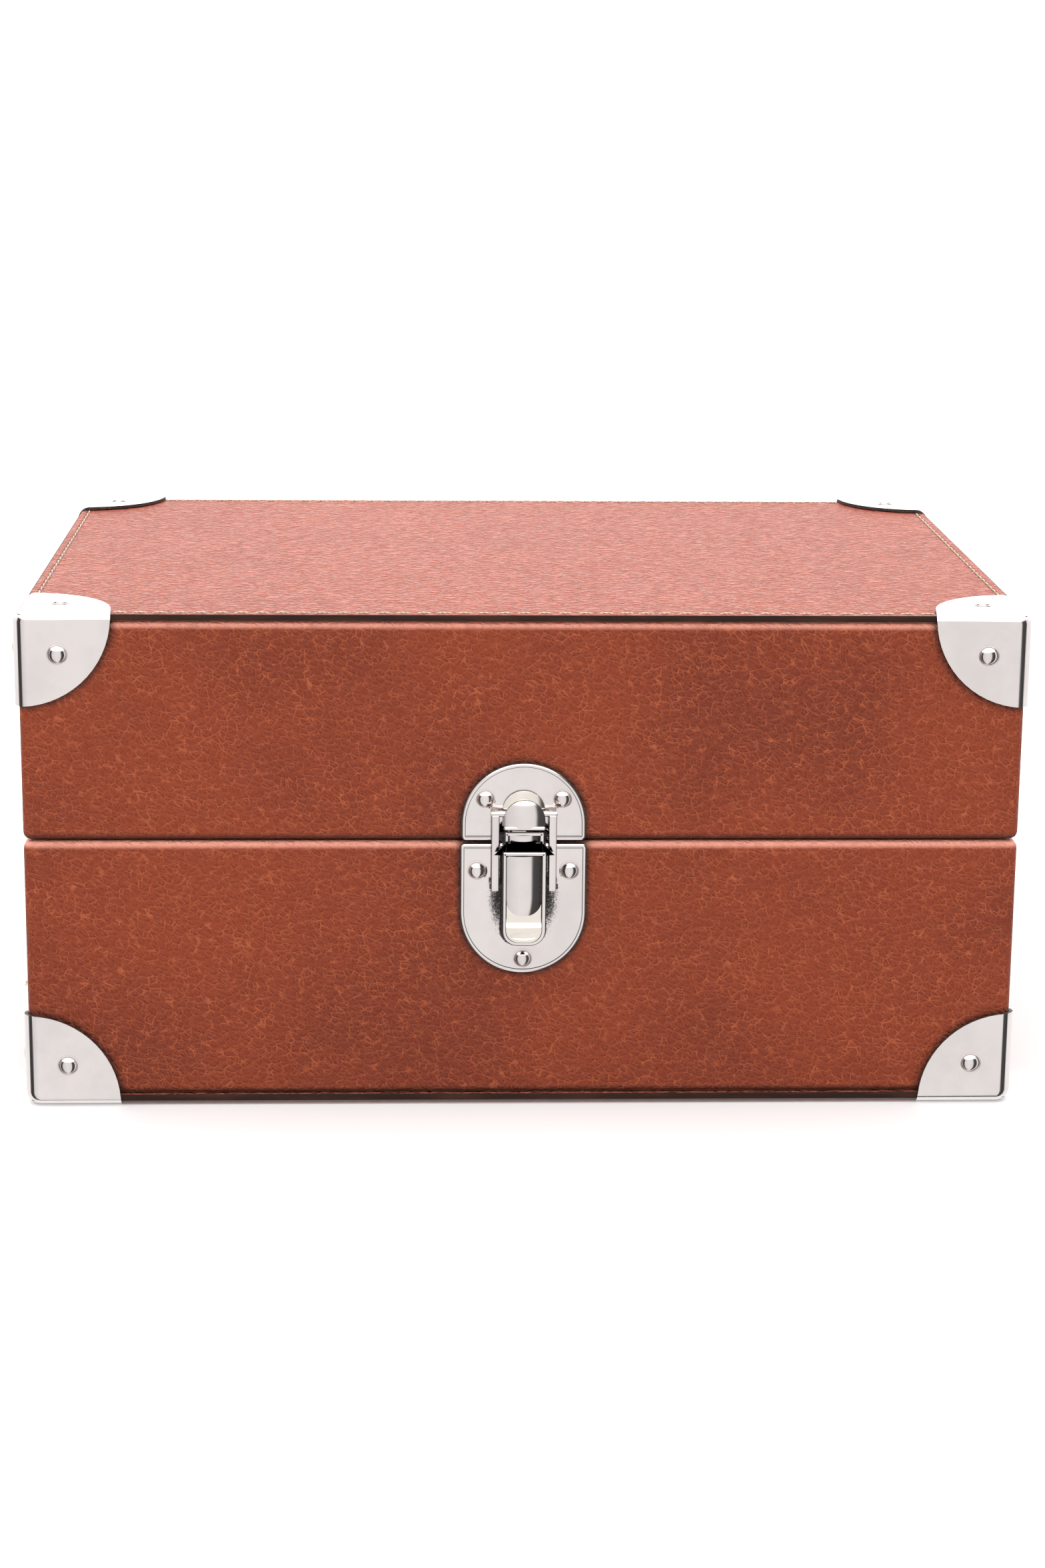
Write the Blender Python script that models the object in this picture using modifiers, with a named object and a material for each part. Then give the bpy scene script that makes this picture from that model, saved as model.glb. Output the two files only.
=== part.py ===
"""Leather jewellery case: a lined box with a hinged lid, a draw latch, nickel corners and a lift-out tray.

Run with: blender --background --python part.py
The front faces -Y, the width runs along X, and the case stands on Z = 0.
"""

from math import cos, pi, radians, sin

import bmesh
import bpy
from mathutils import Matrix, Vector

MM = 0.001
GAP = 0.3  # clearance between neighbouring pieces, like every length below in millimetres

# Driving dimensions of the leather box, over its leather faces
WIDTH = 290.0
DEPTH = 215.0
HEIGHT = 146.3
LID_HEIGHT = 66.8  # from the seam to the top of the lid
SEAM_GAP = 0.5

# Walls, from the outside in
LEATHER = 1.3
BOARD = 5.0
LINING = 1.0
TOP_PANEL = 1.85
BOTTOM_PANEL = 2.0
CORNER_RADIUS = 2.0

# Corner protectors
PROTECTOR_RADIUS = 26.7
PROTECTOR_METAL = 1.0
PROTECTOR_EDGE = 2.0
PROTECTOR_RIVET_INSET = 11.5
RIVET_RADIUS = 2.45
RIVET_HEIGHT = 1.3

# Derived levels and faces, measured from the underside of the protectors
STAND = GAP + PROTECTOR_METAL
BASE_Z = STAND
TOP_Z = STAND + HEIGHT
SEAM_Z = TOP_Z - LID_HEIGHT
HALF_W = WIDTH / 2
HALF_D = DEPTH / 2
BOARD_INSET = LEATHER + GAP
LINING_INSET = BOARD_INSET + BOARD + GAP
INNER_INSET = LINING_INSET + LINING
FLOOR_Z = BASE_Z + BOTTOM_PANEL + GAP + BOARD + GAP + LINING
CEILING_Z = TOP_Z - TOP_PANEL - GAP - BOARD - GAP - LINING

# Rear hinges
HINGE_CENTRES = (-82.0, 82.0)
HINGE_WIDTH = 32.0
LEAF = 1.0
LEAF_HEIGHT = 14.0
KNUCKLE_RADIUS = 2.7
PIN_RADIUS = 0.95
AXIS_Y = HALF_D + GAP + KNUCKLE_RADIUS

# Clasp. Heights are from the seam, and "out" is the distance in front of the leather
PLATE = 1.0
PLATE_OUT = GAP + PLATE
UPPER_PLATE = (36.2, 23.0)
LOWER_PLATE = (36.9, 39.2)
HOOK_WIDTH = 12.5
HOOK_BOSS_Z = (4.9, 16.0)
TONGUE_OUT = (7.0, 8.4)
TONGUE_Z = (5.65, 13.95)
LEVER_AXIS = (4.8, -0.2)  # in front of the leather, and up from the seam
LEVER_WIDTH = 13.0
LEVER_FRONT = 9.2
LEVER_BACK = 6.9
LEVER_FLANGE = 0.7
BRACKET_WIDTH = 11.0
BRACKET_FRONT = 5.5
BAIL_WIDTH = 18.9
BAIL_ARM = 2.2
BAIL_METAL = 1.8
BAIL_AXIS = (4.6, -12.4)
BAIL_TOP = 10.4
CLASP_PIN_RADIUS = 0.8
LEVER_END_OUT = 8.2
LEVER_Z = (-29.3, -1.4)
LEVER_CORNER = 4.8
SCOOP = 0.9
THUMB_RECESS = (8.8, 3.0, -26.1)  # across, tall, and its height
# Side views in the clasp are (in front of the leather, up from the seam)
FLANGE_SHAPE = [(2.9, -4.2), (2.9, -13.7), (4.0, -15.7), (7.4, -15.7), (7.4, -1.9)]
BRACKET_FOOT = -2.3
BRACKET_TOP = 4.4
LEVER_SHOULDER = (3.3, -13.7, -14.7)  # heights where the lever is at its full width, and where its end begins
RIVET_PLACES = (
    ("upper_left", -11.2, 12.9), ("upper_right", 11.2, 12.9), ("lower_left", -13.5, -8.6),
    ("lower_right", 13.5, -8.6), ("lower_middle", 0.0, -35.3),
)

# Lid stay: its pivot and its stud lie at one distance from the hinge axis, so it turns half as far as the lid
STAY_REACH = 40.0
STAY_ANGLE = 20.0
STAY_METAL = 1.2
STAY_WIDTH = 7.0
STAY_SLOT = 3.8
STAY_SHANK = 1.5
STAY_HEAD = 2.7
STAY_X = HALF_W - INNER_INSET - 1.5
LID_OPEN = 100.0

# Tray and what it rests on
TRAY_SIDE_GAP = 4.6
TRAY_END_GAP = 0.8
TRAY_WALL = 3.0
TRAY_HEIGHT = 30.0
LEDGE = (250.0, 5.0)
LEDGE_TOP = 45.0
TRAY_Z = LEDGE_TOP + GAP
DIVIDER = 2.4
BASE_DIVIDERS = (-45.0, 45.0)
RING_SECTION_X = -30.0
RING_SECTION_Y = 32.0
CROSS_Y = 0.0
REAR_SPLIT_X = 50.0
RING_ROLLS = 7
ROLL_HEIGHT = 15.8
TAB_WIDTH = 18.0
TAB_Y = -20.0
TAB_DROP = 6.5
TAB_RISE = 3.0

# Mirror in the lid
MIRROR_FRAME = (240.0, 160.0, 3.2)
MIRROR = (223.0, 143.0, 1.4)
MIRROR_RECESS = 1.9

# The clasp stands further out than the hinges do, and the origin is under the middle of the whole case
CASE_SHIFT = (LEVER_FRONT - (AXIS_Y + KNUCKLE_RADIUS - HALF_D)) / 2

MATERIALS = {
    "leather": ((0.30, 0.075, 0.032), 0.5, 0.0),
    "edge": ((0.075, 0.03, 0.02), 0.5, 0.0),
    "board": ((0.33, 0.24, 0.16), 0.8, 0.0),
    "suede": ((0.42, 0.30, 0.20), 0.95, 0.0),
    "nickel": ((0.80, 0.79, 0.77), 0.12, 1.0),
    "mirror": ((0.90, 0.92, 0.93), 0.02, 1.0),
}


def clear_scene():
    for obj in list(bpy.data.objects):
        bpy.data.objects.remove(obj, do_unlink=True)


def make_collection(name):
    collection = bpy.data.collections.new(name)
    bpy.context.scene.collection.children.link(collection)
    return collection


def make_material(name, colour, roughness, metallic):
    material = bpy.data.materials.new(name)
    material.use_nodes = True
    shader = material.node_tree.nodes["Principled BSDF"]
    shader.inputs["Base Color"].default_value = (*colour, 1.0)
    shader.inputs["Roughness"].default_value = roughness
    shader.inputs["Metallic"].default_value = metallic
    return material


def make_empty(name, location, parent=None):
    """An empty on a joint's axis. Its location is in the case's own frame, in millimetres."""
    empty = bpy.data.objects.new(name, None)
    PARTS.objects.link(empty)
    empty.parent = parent
    empty["at"] = location
    start = Vector(parent["at"]) if parent else Vector()
    empty.location = (Vector(location) - start) * MM
    return empty


def add_object(name, data, at, slot, rides, rotation=(0.0, 0.0, 0.0)):
    """Places a shape in the case's frame, riding on an empty, with a material of its own."""
    obj = bpy.data.objects.new(name, data)
    PARTS.objects.link(obj)
    obj.parent = rides
    obj.location = (Vector(at) - Vector(rides["at"])) * MM
    obj.rotation_euler = rotation
    data.materials.clear()
    data.materials.append(make_material(name, *MATERIALS[slot]))
    return obj


def make_cutter(obj):
    PARTS.objects.unlink(obj)
    CUTTERS.objects.link(obj)
    obj.hide_render = True
    obj.display_type = "WIRE"
    return obj


def combine(obj, operand, operation):
    modifier = obj.modifiers.new(operation.title(), "BOOLEAN")
    modifier.object = make_cutter(operand)
    modifier.operation = operation
    modifier.solver = "EXACT"
    return obj


def mesh_of(name, bm):
    mesh = bpy.data.meshes.new(name)
    bm.to_mesh(mesh)
    bm.free()
    return mesh


def bevel_edges(bm, edges, radius, segments):
    bmesh.ops.bevel(
        bm, geom=edges, offset=radius * MM, segments=segments, profile=0.5, affect="EDGES", material=-1
    )


def upright(edge):
    a, b = edge.verts
    return abs(a.co.x - b.co.x) < 1e-6 and abs(a.co.y - b.co.y) < 1e-6


def box_mesh(name, size, corner=0.0, open_faces=(), edge=0.0):
    """A block about its own centre. corner rounds its upright edges, edge all of them; open_faces are axis signs."""
    bm = bmesh.new()
    bmesh.ops.create_cube(bm, size=1.0)
    bmesh.ops.scale(bm, vec=Vector(size) * MM, verts=bm.verts)
    removed = [face for face in bm.faces if round(face.normal.z) in open_faces]
    if corner:
        bevel_edges(bm, [item for item in bm.edges if upright(item)], corner, 3)
        removed = [face for face in bm.faces if round(face.normal.z) in open_faces]
    if edge:
        bevel_edges(bm, bm.edges[:], edge, 3)
    bmesh.ops.delete(bm, geom=removed, context="FACES_ONLY")
    return mesh_of(name, bm)


def box(name, low, high, slot, rides, **shape):
    low, high = Vector(low), Vector(high)
    return add_object(name, box_mesh(name, high - low, **shape), (low + high) / 2, slot, rides)


def shell(name, low, high, wall, slot, rides, open_faces, corner=0.0):
    """A thin-walled block with open faces, its thickness inwards."""
    obj = box(name, low, high, slot, rides, open_faces=open_faces, corner=corner)
    solidify = obj.modifiers.new("Solidify", "SOLIDIFY")
    solidify.thickness = wall * MM
    solidify.offset = -1.0
    solidify.use_even_offset = True
    return obj


def cylinder(name, at, radius, length, slot, rides, axis="X", segments=20):
    bm = bmesh.new()
    bmesh.ops.create_cone(
        bm, segments=segments, cap_ends=True, radius1=radius * MM, radius2=radius * MM, depth=length * MM
    )
    turn = {"X": (0.0, pi / 2, 0.0), "Y": (pi / 2, 0.0, 0.0), "Z": (0.0, 0.0, 0.0)}[axis]
    obj = add_object(name, mesh_of(name, bm), at, slot, rides, turn)
    obj.data.shade_smooth()
    obj.data.set_sharp_from_angle(angle=radians(40))
    return obj


def dome_mesh(name, radius, height):
    """A rivet head, flat side down on its origin."""
    bm = bmesh.new()
    bmesh.ops.create_uvsphere(bm, u_segments=16, v_segments=8, radius=1.0)
    bmesh.ops.scale(bm, vec=Vector((radius, radius, height)) * MM, verts=bm.verts)
    geometry = bm.verts[:] + bm.edges[:] + bm.faces[:]
    bmesh.ops.bisect_plane(
        bm, geom=geometry, dist=1e-7, plane_co=(0, 0, 0), plane_no=(0, 0, 1), clear_inner=True
    )
    bmesh.ops.holes_fill(bm, edges=bm.edges[:], sides=0)
    return mesh_of(name, bm)


def arc(centre, radius, start, end, steps):
    """Points on an arc, angles in degrees."""
    angles = [radians(start + (end - start) * i / steps) for i in range(steps + 1)]
    return [(centre[0] + radius * cos(a), centre[1] + radius * sin(a)) for a in angles]


def outline_curve(name, outlines, thickness):
    """A flat curve filled on both sides: the first outline is the edge, and the others are holes."""
    curve = bpy.data.curves.new(name, "CURVE")
    curve.dimensions = "2D"
    curve.fill_mode = "BOTH"
    curve.extrude = thickness / 2 * MM
    for outline in outlines:
        spline = curve.splines.new("POLY")
        spline.points.add(len(outline) - 1)
        for point, (x, y) in zip(spline.points, outline):
            point.co = (x * MM, y * MM, 0.0, 1.0)
        spline.use_cyclic_u = True
    return curve


FACING_FRONT = (pi / 2, 0.0, 0.0)
FACING_SIDE = (pi / 2, 0.0, pi / 2)


def front_plate(name, outlines, out, slot, rides):
    """A plate parallel to the front. Outlines are (across, up from the seam); out is (back, front) in front of it."""
    at = (0.0, -HALF_D - sum(out) / 2, SEAM_Z)
    return add_object(name, outline_curve(name, outlines, out[1] - out[0]), at, slot, rides, FACING_FRONT)


def as_mesh(obj):
    """Turns a curve object into a welded mesh object, so that it can be cut and joined."""
    bpy.context.view_layer.update()
    graph = bpy.context.evaluated_depsgraph_get()
    mesh = bpy.data.meshes.new_from_object(obj.evaluated_get(graph))
    bm = bmesh.new()
    bm.from_mesh(mesh)
    bmesh.ops.remove_doubles(bm, verts=bm.verts, dist=1e-6)
    bmesh.ops.recalc_face_normals(bm, faces=bm.faces)
    bm.to_mesh(mesh)
    bm.free()
    name = obj.name
    solid = bpy.data.objects.new(name + "_mesh", mesh)
    PARTS.objects.link(solid)
    solid.parent = obj.parent
    solid.matrix_parent_inverse = obj.matrix_parent_inverse
    solid.location = obj.location
    solid.rotation_euler = obj.rotation_euler
    bpy.data.objects.remove(obj, do_unlink=True)
    solid.name = name
    return solid


def side_plate(name, outline, x_range, slot, rides):
    """A solid whose outline is (out from the front face, up from the seam), between two places along X."""
    points = [(-HALF_D - out, SEAM_Z + up) for out, up in outline]
    curve = outline_curve(name, [points], x_range[1] - x_range[0])
    at = (sum(x_range) / 2, 0.0, 0.0)
    return as_mesh(add_object(name, curve, at, slot, rides, FACING_SIDE))


def build_base(base):
    low = BASE_Z + BOTTOM_PANEL + GAP
    rim = SEAM_Z - SEAM_GAP / 2
    box(
        "bottom_panel", (-HALF_W, -HALF_D, BASE_Z), (HALF_W, HALF_D, BASE_Z + BOTTOM_PANEL),
        "edge", base, corner=CORNER_RADIUS,
    )
    shell(
        "base_leather", (-HALF_W, -HALF_D, low), (HALF_W, HALF_D, rim),
        LEATHER, "leather", base, (1, -1), CORNER_RADIUS,
    )
    x, y = HALF_W - BOARD_INSET, HALF_D - BOARD_INSET
    shell("base_shell", (-x, -y, low), (x, y, rim - 0.2), BOARD, "board", base, (1,))
    x, y = HALF_W - LINING_INSET, HALF_D - LINING_INSET
    shell("base_lining", (-x, -y, low + BOARD + GAP), (x, y, rim - 0.4), LINING, "suede", base, (1,))


def build_lid(lid):
    high = TOP_Z - TOP_PANEL - GAP
    rim = SEAM_Z + SEAM_GAP / 2
    box(
        "top_panel", (-HALF_W, -HALF_D, TOP_Z - TOP_PANEL), (HALF_W, HALF_D, TOP_Z),
        "leather", lid, corner=CORNER_RADIUS,
    )
    shell(
        "lid_leather", (-HALF_W, -HALF_D, rim), (HALF_W, HALF_D, high),
        LEATHER, "leather", lid, (1, -1), CORNER_RADIUS,
    )
    x, y = HALF_W - BOARD_INSET, HALF_D - BOARD_INSET
    shell("lid_shell", (-x, -y, rim + 0.2), (x, y, high), BOARD, "board", lid, (-1,))
    x, y = HALF_W - LINING_INSET, HALF_D - LINING_INSET
    shell("lid_lining", (-x, -y, rim + 0.4), (x, y, high - BOARD - GAP), LINING, "suede", lid, (-1,))
    build_mirror(lid)


def build_mirror(lid):
    """A shallow frame under the lid's ceiling, with the glass let into it."""
    x, y, frame_height = MIRROR_FRAME[0] / 2, MIRROR_FRAME[1] / 2, MIRROR_FRAME[2]
    top = CEILING_Z - GAP
    under = top - frame_height
    frame = box("mirror_frame", (-x, -y, under), (x, y, top), "suede", lid, corner=CORNER_RADIUS)
    x, y = MIRROR[0] / 2, MIRROR[1] / 2
    recess = box(
        "mirror_recess", (-x - GAP, -y - GAP, under - 1.0), (x + GAP, y + GAP, under + MIRROR_RECESS),
        "suede", lid,
    )
    combine(frame, recess, "DIFFERENCE")
    glass_top = under + MIRROR_RECESS - GAP
    box("mirror", (-x, -y, glass_top - MIRROR[2]), (x, y, glass_top), "mirror", lid)


def protector_rivets(name, corner, signs, rides):
    """Domed heads on the faces of a protector, as one mesh. The underside stays flat, to stand on."""
    bm = bmesh.new()
    for axis in range(3):
        if axis == 2 and signs[2] < 0:
            continue
        centre = Vector(corner) - Vector(signs) * PROTECTOR_RIVET_INSET
        centre[axis] = corner[axis] + signs[axis] * (STAND + 0.2)
        size = [RIVET_RADIUS] * 3
        size[axis] = RIVET_HEIGHT - 0.2
        turn = Matrix.Rotation(pi / 2, 4, "YXZ"[axis]) if axis < 2 else Matrix.Identity(4)
        made = bmesh.ops.create_uvsphere(bm, u_segments=14, v_segments=8, radius=1.0, matrix=turn)
        bmesh.ops.scale(bm, vec=Vector(size) * MM, verts=made["verts"])
        bmesh.ops.translate(bm, vec=(centre - Vector(corner)) * MM, verts=made["verts"])
    return add_object(name, mesh_of(name, bm), corner, "nickel", rides)


def build_protector(name, signs, rides):
    """A sheet-metal corner: a quarter disc on each of the three faces that meet there."""
    corner = (signs[0] * HALF_W, signs[1] * HALF_D, TOP_Z if signs[2] > 0 else BASE_Z)
    reach = PROTECTOR_RADIUS + 6.0
    ends = []
    for out in (STAND, GAP):
        outside = [c + s * out for c, s in zip(corner, signs)]
        inside = [c - s * (reach + 2.0 * (out == GAP)) for c, s in zip(corner, signs)]
        ends.append((list(map(min, outside, inside)), list(map(max, outside, inside))))
    cover = box(name, *ends[0], "nickel", rides, edge=PROTECTOR_EDGE)
    bm = bmesh.new()
    bmesh.ops.create_icosphere(bm, subdivisions=3, radius=PROTECTOR_RADIUS * MM)
    ball = add_object(name + "_outline", mesh_of(name, bm), corner, "nickel", rides, (0.21, 0.33, 0.17))
    combine(cover, ball, "INTERSECT")
    combine(cover, box(name + "_inside", *ends[1], "nickel", rides), "DIFFERENCE")
    combine(cover, protector_rivets(name + "_rivets", corner, signs, rides), "UNION")
    return cover


def build_protectors(base, lid):
    for level, rides in ((-1, base), (1, lid)):
        for side, word_x in ((-1, "left"), (1, "right")):
            for end, word_y in ((-1, "front"), (1, "rear")):
                piece = "base" if level < 0 else "lid"
                build_protector(f"protector_{piece}_{word_y}_{word_x}", (side, end, level), rides)


def build_hinge_leaf(name, centre, level, rides):
    """One leaf with its knuckles. The base leaf (level -1) has the two outer knuckles, the lid leaf the middle one."""
    half = HINGE_WIDTH / 2
    third = HINGE_WIDTH / 3
    y = (HALF_D + GAP, HALF_D + GAP + LEAF)
    heights = sorted(SEAM_Z + level * h for h in (KNUCKLE_RADIUS + 0.5, LEAF_HEIGHT))
    leaf = box(name, (centre - half, y[0], heights[0]), (centre + half, y[1], heights[1]), "nickel", rides)
    spans = ((-half, -third / 2 - GAP), (third / 2 + GAP, half)) if level < 0 else ((-third / 2, third / 2),)
    for i, (start, end) in enumerate(spans):
        heights = sorted((SEAM_Z + level * 0.4, SEAM_Z + level * (KNUCKLE_RADIUS + 1.5)))
        tab = box(
            f"{name}_tab{i}", (centre + start, y[0], heights[0]), (centre + end, y[1] - 0.1, heights[1]),
            "nickel", rides,
        )
        combine(leaf, tab, "UNION")
        knuckle = cylinder(
            f"{name}_knuckle{i}", (centre + (start + end) / 2, AXIS_Y, SEAM_Z), KNUCKLE_RADIUS - 0.02,
            end - start - 0.04, "nickel", rides,
        )
        combine(leaf, knuckle, "UNION")
    hole = cylinder(
        f"{name}_hole", (centre, AXIS_Y, SEAM_Z), PIN_RADIUS + GAP, HINGE_WIDTH + 4.0, "nickel", rides
    )
    return combine(leaf, hole, "DIFFERENCE")


def build_hinges(base, lid):
    for centre, side in zip(HINGE_CENTRES, ("left", "right")):
        build_hinge_leaf(f"hinge_{side}_base_leaf", centre, -1, base)
        build_hinge_leaf(f"hinge_{side}_lid_leaf", centre, 1, lid)
        cylinder(
            f"hinge_{side}_pin", (centre, AXIS_Y, SEAM_Z), PIN_RADIUS, HINGE_WIDTH + 1.2, "nickel", base
        )


def stay_point(angle):
    """A point of the lid stay, (y, z), at an angle above the horizontal in front of the hinge axis."""
    return (AXIS_Y - STAY_REACH * cos(radians(angle)), SEAM_Z + STAY_REACH * sin(radians(angle)))


def build_stay(base, lid, stay):
    """A slotted arm that hangs from the lid and slides on a stud in the base's side."""
    pivot = stay_point(STAY_ANGLE)
    stud = stay_point(-STAY_ANGLE)
    shut = 2 * STAY_REACH * sin(radians(STAY_ANGLE))
    opened = 2 * STAY_REACH * sin(radians(STAY_ANGLE + LID_OPEN / 2))
    half, slot = STAY_WIDTH / 2, STAY_SLOT / 2
    slot_ends = (-shut + slot, -opened - slot)
    edge = arc((0, 0), half, 0, 180, 10) + arc((0, slot_ends[1]), half, 180, 360, 10)
    window = arc((0, slot_ends[0]), slot, 0, 180, 8) + arc((0, slot_ends[1] + slot), slot, 180, 360, 8)
    eye = arc((0, 0), STAY_SHANK + GAP, 0, 330, 11)
    curve = outline_curve("stay_arm", [edge, window, eye], STAY_METAL)
    add_object("stay_arm", curve, (STAY_X, *pivot), "nickel", stay, FACING_SIDE)
    for name, at, rides in (("stay_pivot", pivot, lid), ("stay_stud", stud, base)):
        wall = HALF_W - INNER_INSET - GAP
        head = STAY_X - STAY_METAL / 2 - 0.4
        shank = cylinder(name, ((wall + head - 0.3) / 2, *at), STAY_SHANK, wall - head + 0.3, "nickel", rides)
        cap = cylinder(name + "_head", (head - 0.45, *at), STAY_HEAD, 0.9, "nickel", rides)
        combine(shank, cap, "UNION")


def build_clasp_plates(base, lid):
    across, tall = UPPER_PLATE
    half = across / 2
    foot = SEAM_GAP
    shoulder = foot + tall - half
    outline = [(-half, foot), (half, foot)] + arc((0, shoulder), half, 0, 180, 28)
    front_plate("clasp_upper_plate", [outline], (GAP, PLATE_OUT), "nickel", lid)
    across, tall = LOWER_PLATE
    half = across / 2
    shoulder = -foot - tall + half
    outline = [(half, -foot), (-half, -foot)] + arc((0, shoulder), half, 180, 360, 28)
    front_plate("clasp_lower_plate", [outline], (GAP, PLATE_OUT), "nickel", base)


def build_hook(lid):
    """The catch on the lid: an arched boss, a root that stands out of it, and a tongue that turns up."""
    half = HOOK_WIDTH / 2
    boss_foot, boss_top = HOOK_BOSS_Z
    outline = [(-half, boss_foot), (half, boss_foot)] + arc((0, boss_top - half), half, 0, 180, 16)
    back = PLATE_OUT + GAP
    boss = as_mesh(front_plate("clasp_hook", [outline], (back, back + 0.6), "nickel", lid))
    low, high = TONGUE_Z
    radius = 4.6
    tongue_outline = (
        [(-half, low), (half, low)]
        + arc((half - radius, high - radius), radius, 0, 90, 6)
        + arc((-half + radius, high - radius), radius, 90, 180, 6)
    )
    tongue = as_mesh(front_plate("clasp_hook_tongue", [tongue_outline], TONGUE_OUT, "nickel", lid))
    root = box(
        "clasp_hook_root",
        (-half + 0.4, -HALF_D - TONGUE_OUT[0] - 0.5, SEAM_Z + low + 0.1),
        (half - 0.4, -HALF_D - back - 0.2, SEAM_Z + low + 1.5),
        "nickel", lid,
    )
    combine(boss, root, "UNION")
    return combine(boss, tongue, "UNION")


def lever_outline():
    """The lever from the side, (out, up): a convex face, a scoop for the thumb and a lip at the end."""
    end, start = LEVER_Z
    face = []
    steps = 18
    for i in range(steps + 1):
        t = i / steps
        swell = sin(pi * min(t / 0.78, 1.0)) ** 0.8
        dip = sin(pi * min(max((t - 0.62) / 0.38, 0.0), 1.0))
        out = LEVER_END_OUT + (LEVER_FRONT - LEVER_END_OUT) * swell - SCOOP * dip
        face.append((out, start + (end - start) * t))
    back_edge = [(6.7, end), (5.7, end + 4.0), (6.4, end + 8.6), (LEVER_BACK, end + 12.6), (LEVER_BACK, start)]
    return face + back_edge


def build_lever(lever):
    half = LEVER_WIDTH / 2
    body = side_plate("clasp_lever", lever_outline(), (-half, half), "nickel", lever)
    low, radius = LEVER_Z[0], LEVER_CORNER
    above, shoulder, end = LEVER_SHOULDER
    outline = (
        [(half + 1.0, above), (-half - 1.0, above), (-half - 1.0, shoulder), (-half, end)]
        + arc((-half + radius, low + radius), radius, 180, 270, 6)
        + arc((half - radius, low + radius), radius, 270, 360, 6)
        + [(half, end), (half + 1.0, shoulder)]
    )
    rounding = as_mesh(front_plate("clasp_lever_rounding", [outline], (1.0, 12.0), "nickel", lever))
    combine(body, rounding, "INTERSECT")
    axis_out, axis_up = LEVER_AXIS
    eye_radius = 1.9
    flange = (
        arc((axis_out, axis_up), eye_radius, 60, 270, 12)
        + FLANGE_SHAPE
    )
    for sign, word in ((-1, "left"), (1, "right")):
        span = sorted((sign * (half - 0.02), sign * (half - LEVER_FLANGE)))
        side = side_plate(f"clasp_lever_flange_{word}", flange, span, "nickel", lever)
        combine(body, side, "UNION")
    for name, (out, up) in (("axle", LEVER_AXIS), ("bail", BAIL_AXIS)):
        hole = cylinder(
            f"clasp_lever_{name}_hole", (0.0, -HALF_D - out, SEAM_Z + up), CLASP_PIN_RADIUS + GAP,
            LEVER_WIDTH + 4.0, "nickel", lever,
        )
        combine(body, hole, "DIFFERENCE")
    bm = bmesh.new()
    bmesh.ops.create_uvsphere(bm, u_segments=20, v_segments=10, radius=1.0)
    across, tall, up = THUMB_RECESS
    bmesh.ops.scale(bm, vec=Vector((across / 2, 0.9, tall / 2)) * MM, verts=bm.verts)
    thumb = add_object(
        "clasp_lever_thumb", mesh_of("thumb", bm), (0.0, -HALF_D - LEVER_END_OUT + SCOOP - 0.3, SEAM_Z + up),
        "nickel", lever,
    )
    return combine(body, thumb, "DIFFERENCE")


def build_bracket(base):
    """The block on the lower plate that carries the lever's pin, with a bar across the top."""
    half = BRACKET_WIDTH / 2
    axis_out, axis_up = LEVER_AXIS
    back = PLATE_OUT + GAP
    outline = [
        (back, BRACKET_TOP), (back, BRACKET_FOOT), (axis_out, BRACKET_FOOT), (BRACKET_FRONT, axis_up + 0.6),
        (BRACKET_FRONT, BRACKET_TOP - 0.4), (BRACKET_FRONT - 0.4, BRACKET_TOP),
    ]
    block = side_plate("clasp_bracket", outline, (-half, half), "nickel", base)
    at = (0.0, -HALF_D - axis_out, SEAM_Z + axis_up)
    combine(
        block,
        cylinder("clasp_bracket_eye", at, CLASP_PIN_RADIUS + 1.0, BRACKET_WIDTH - 0.04, "nickel", base),
        "UNION",
    )
    hole = cylinder("clasp_bracket_hole", at, CLASP_PIN_RADIUS + GAP, BRACKET_WIDTH + 4.0, "nickel", base)
    cylinder("lever_pin", at, CLASP_PIN_RADIUS, LEVER_WIDTH + 0.8, "nickel", base)
    return combine(block, hole, "DIFFERENCE")


def build_bail(lever, bail):
    """The loop between lever and hook: two flat arms with eyes for the pin, and a crossbar behind the tongue."""
    half = BAIL_WIDTH / 2
    inner = half - BAIL_ARM
    out, up = BAIL_AXIS
    corner = 1.6
    outline = (
        arc((half - corner, BAIL_TOP - corner), corner, 0, 90, 4)
        + arc((-half + corner, BAIL_TOP - corner), corner, 90, 180, 4)
        + [(-half, up), (-inner, up), (-inner, BAIL_TOP - BAIL_METAL), (inner, BAIL_TOP - BAIL_METAL)]
        + [(inner, up), (half, up)]
    )
    span = (out - BAIL_METAL / 2, out + BAIL_METAL / 2)
    loop = as_mesh(front_plate("clasp_bail", [outline], span, "nickel", bail))
    height = SEAM_Z + up
    for sign, word in ((-1, "left"), (1, "right")):
        at = (sign * (half - BAIL_ARM / 2), -HALF_D - out, height)
        eye = cylinder(f"clasp_bail_eye_{word}", at, CLASP_PIN_RADIUS + 1.2, BAIL_ARM - 0.04, "nickel", bail)
        combine(loop, eye, "UNION")
    at = (0.0, -HALF_D - out, height)
    hole = cylinder("clasp_bail_hole", at, CLASP_PIN_RADIUS + GAP, BAIL_WIDTH + 4.0, "nickel", bail)
    combine(loop, hole, "DIFFERENCE")
    cylinder("bail_pin", at, CLASP_PIN_RADIUS, BAIL_WIDTH + 1.0, "nickel", lever)


def build_clasp_rivets(base, lid):
    for place, across, up in RIVET_PLACES:
        name = f"clasp_rivet_{place}"
        at = (across, -HALF_D - PLATE_OUT - GAP, SEAM_Z + up)
        rides = lid if place.startswith("upper") else base
        add_object(name, dome_mesh(name, RIVET_RADIUS, RIVET_HEIGHT), at, "nickel", rides, FACING_FRONT)


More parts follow.
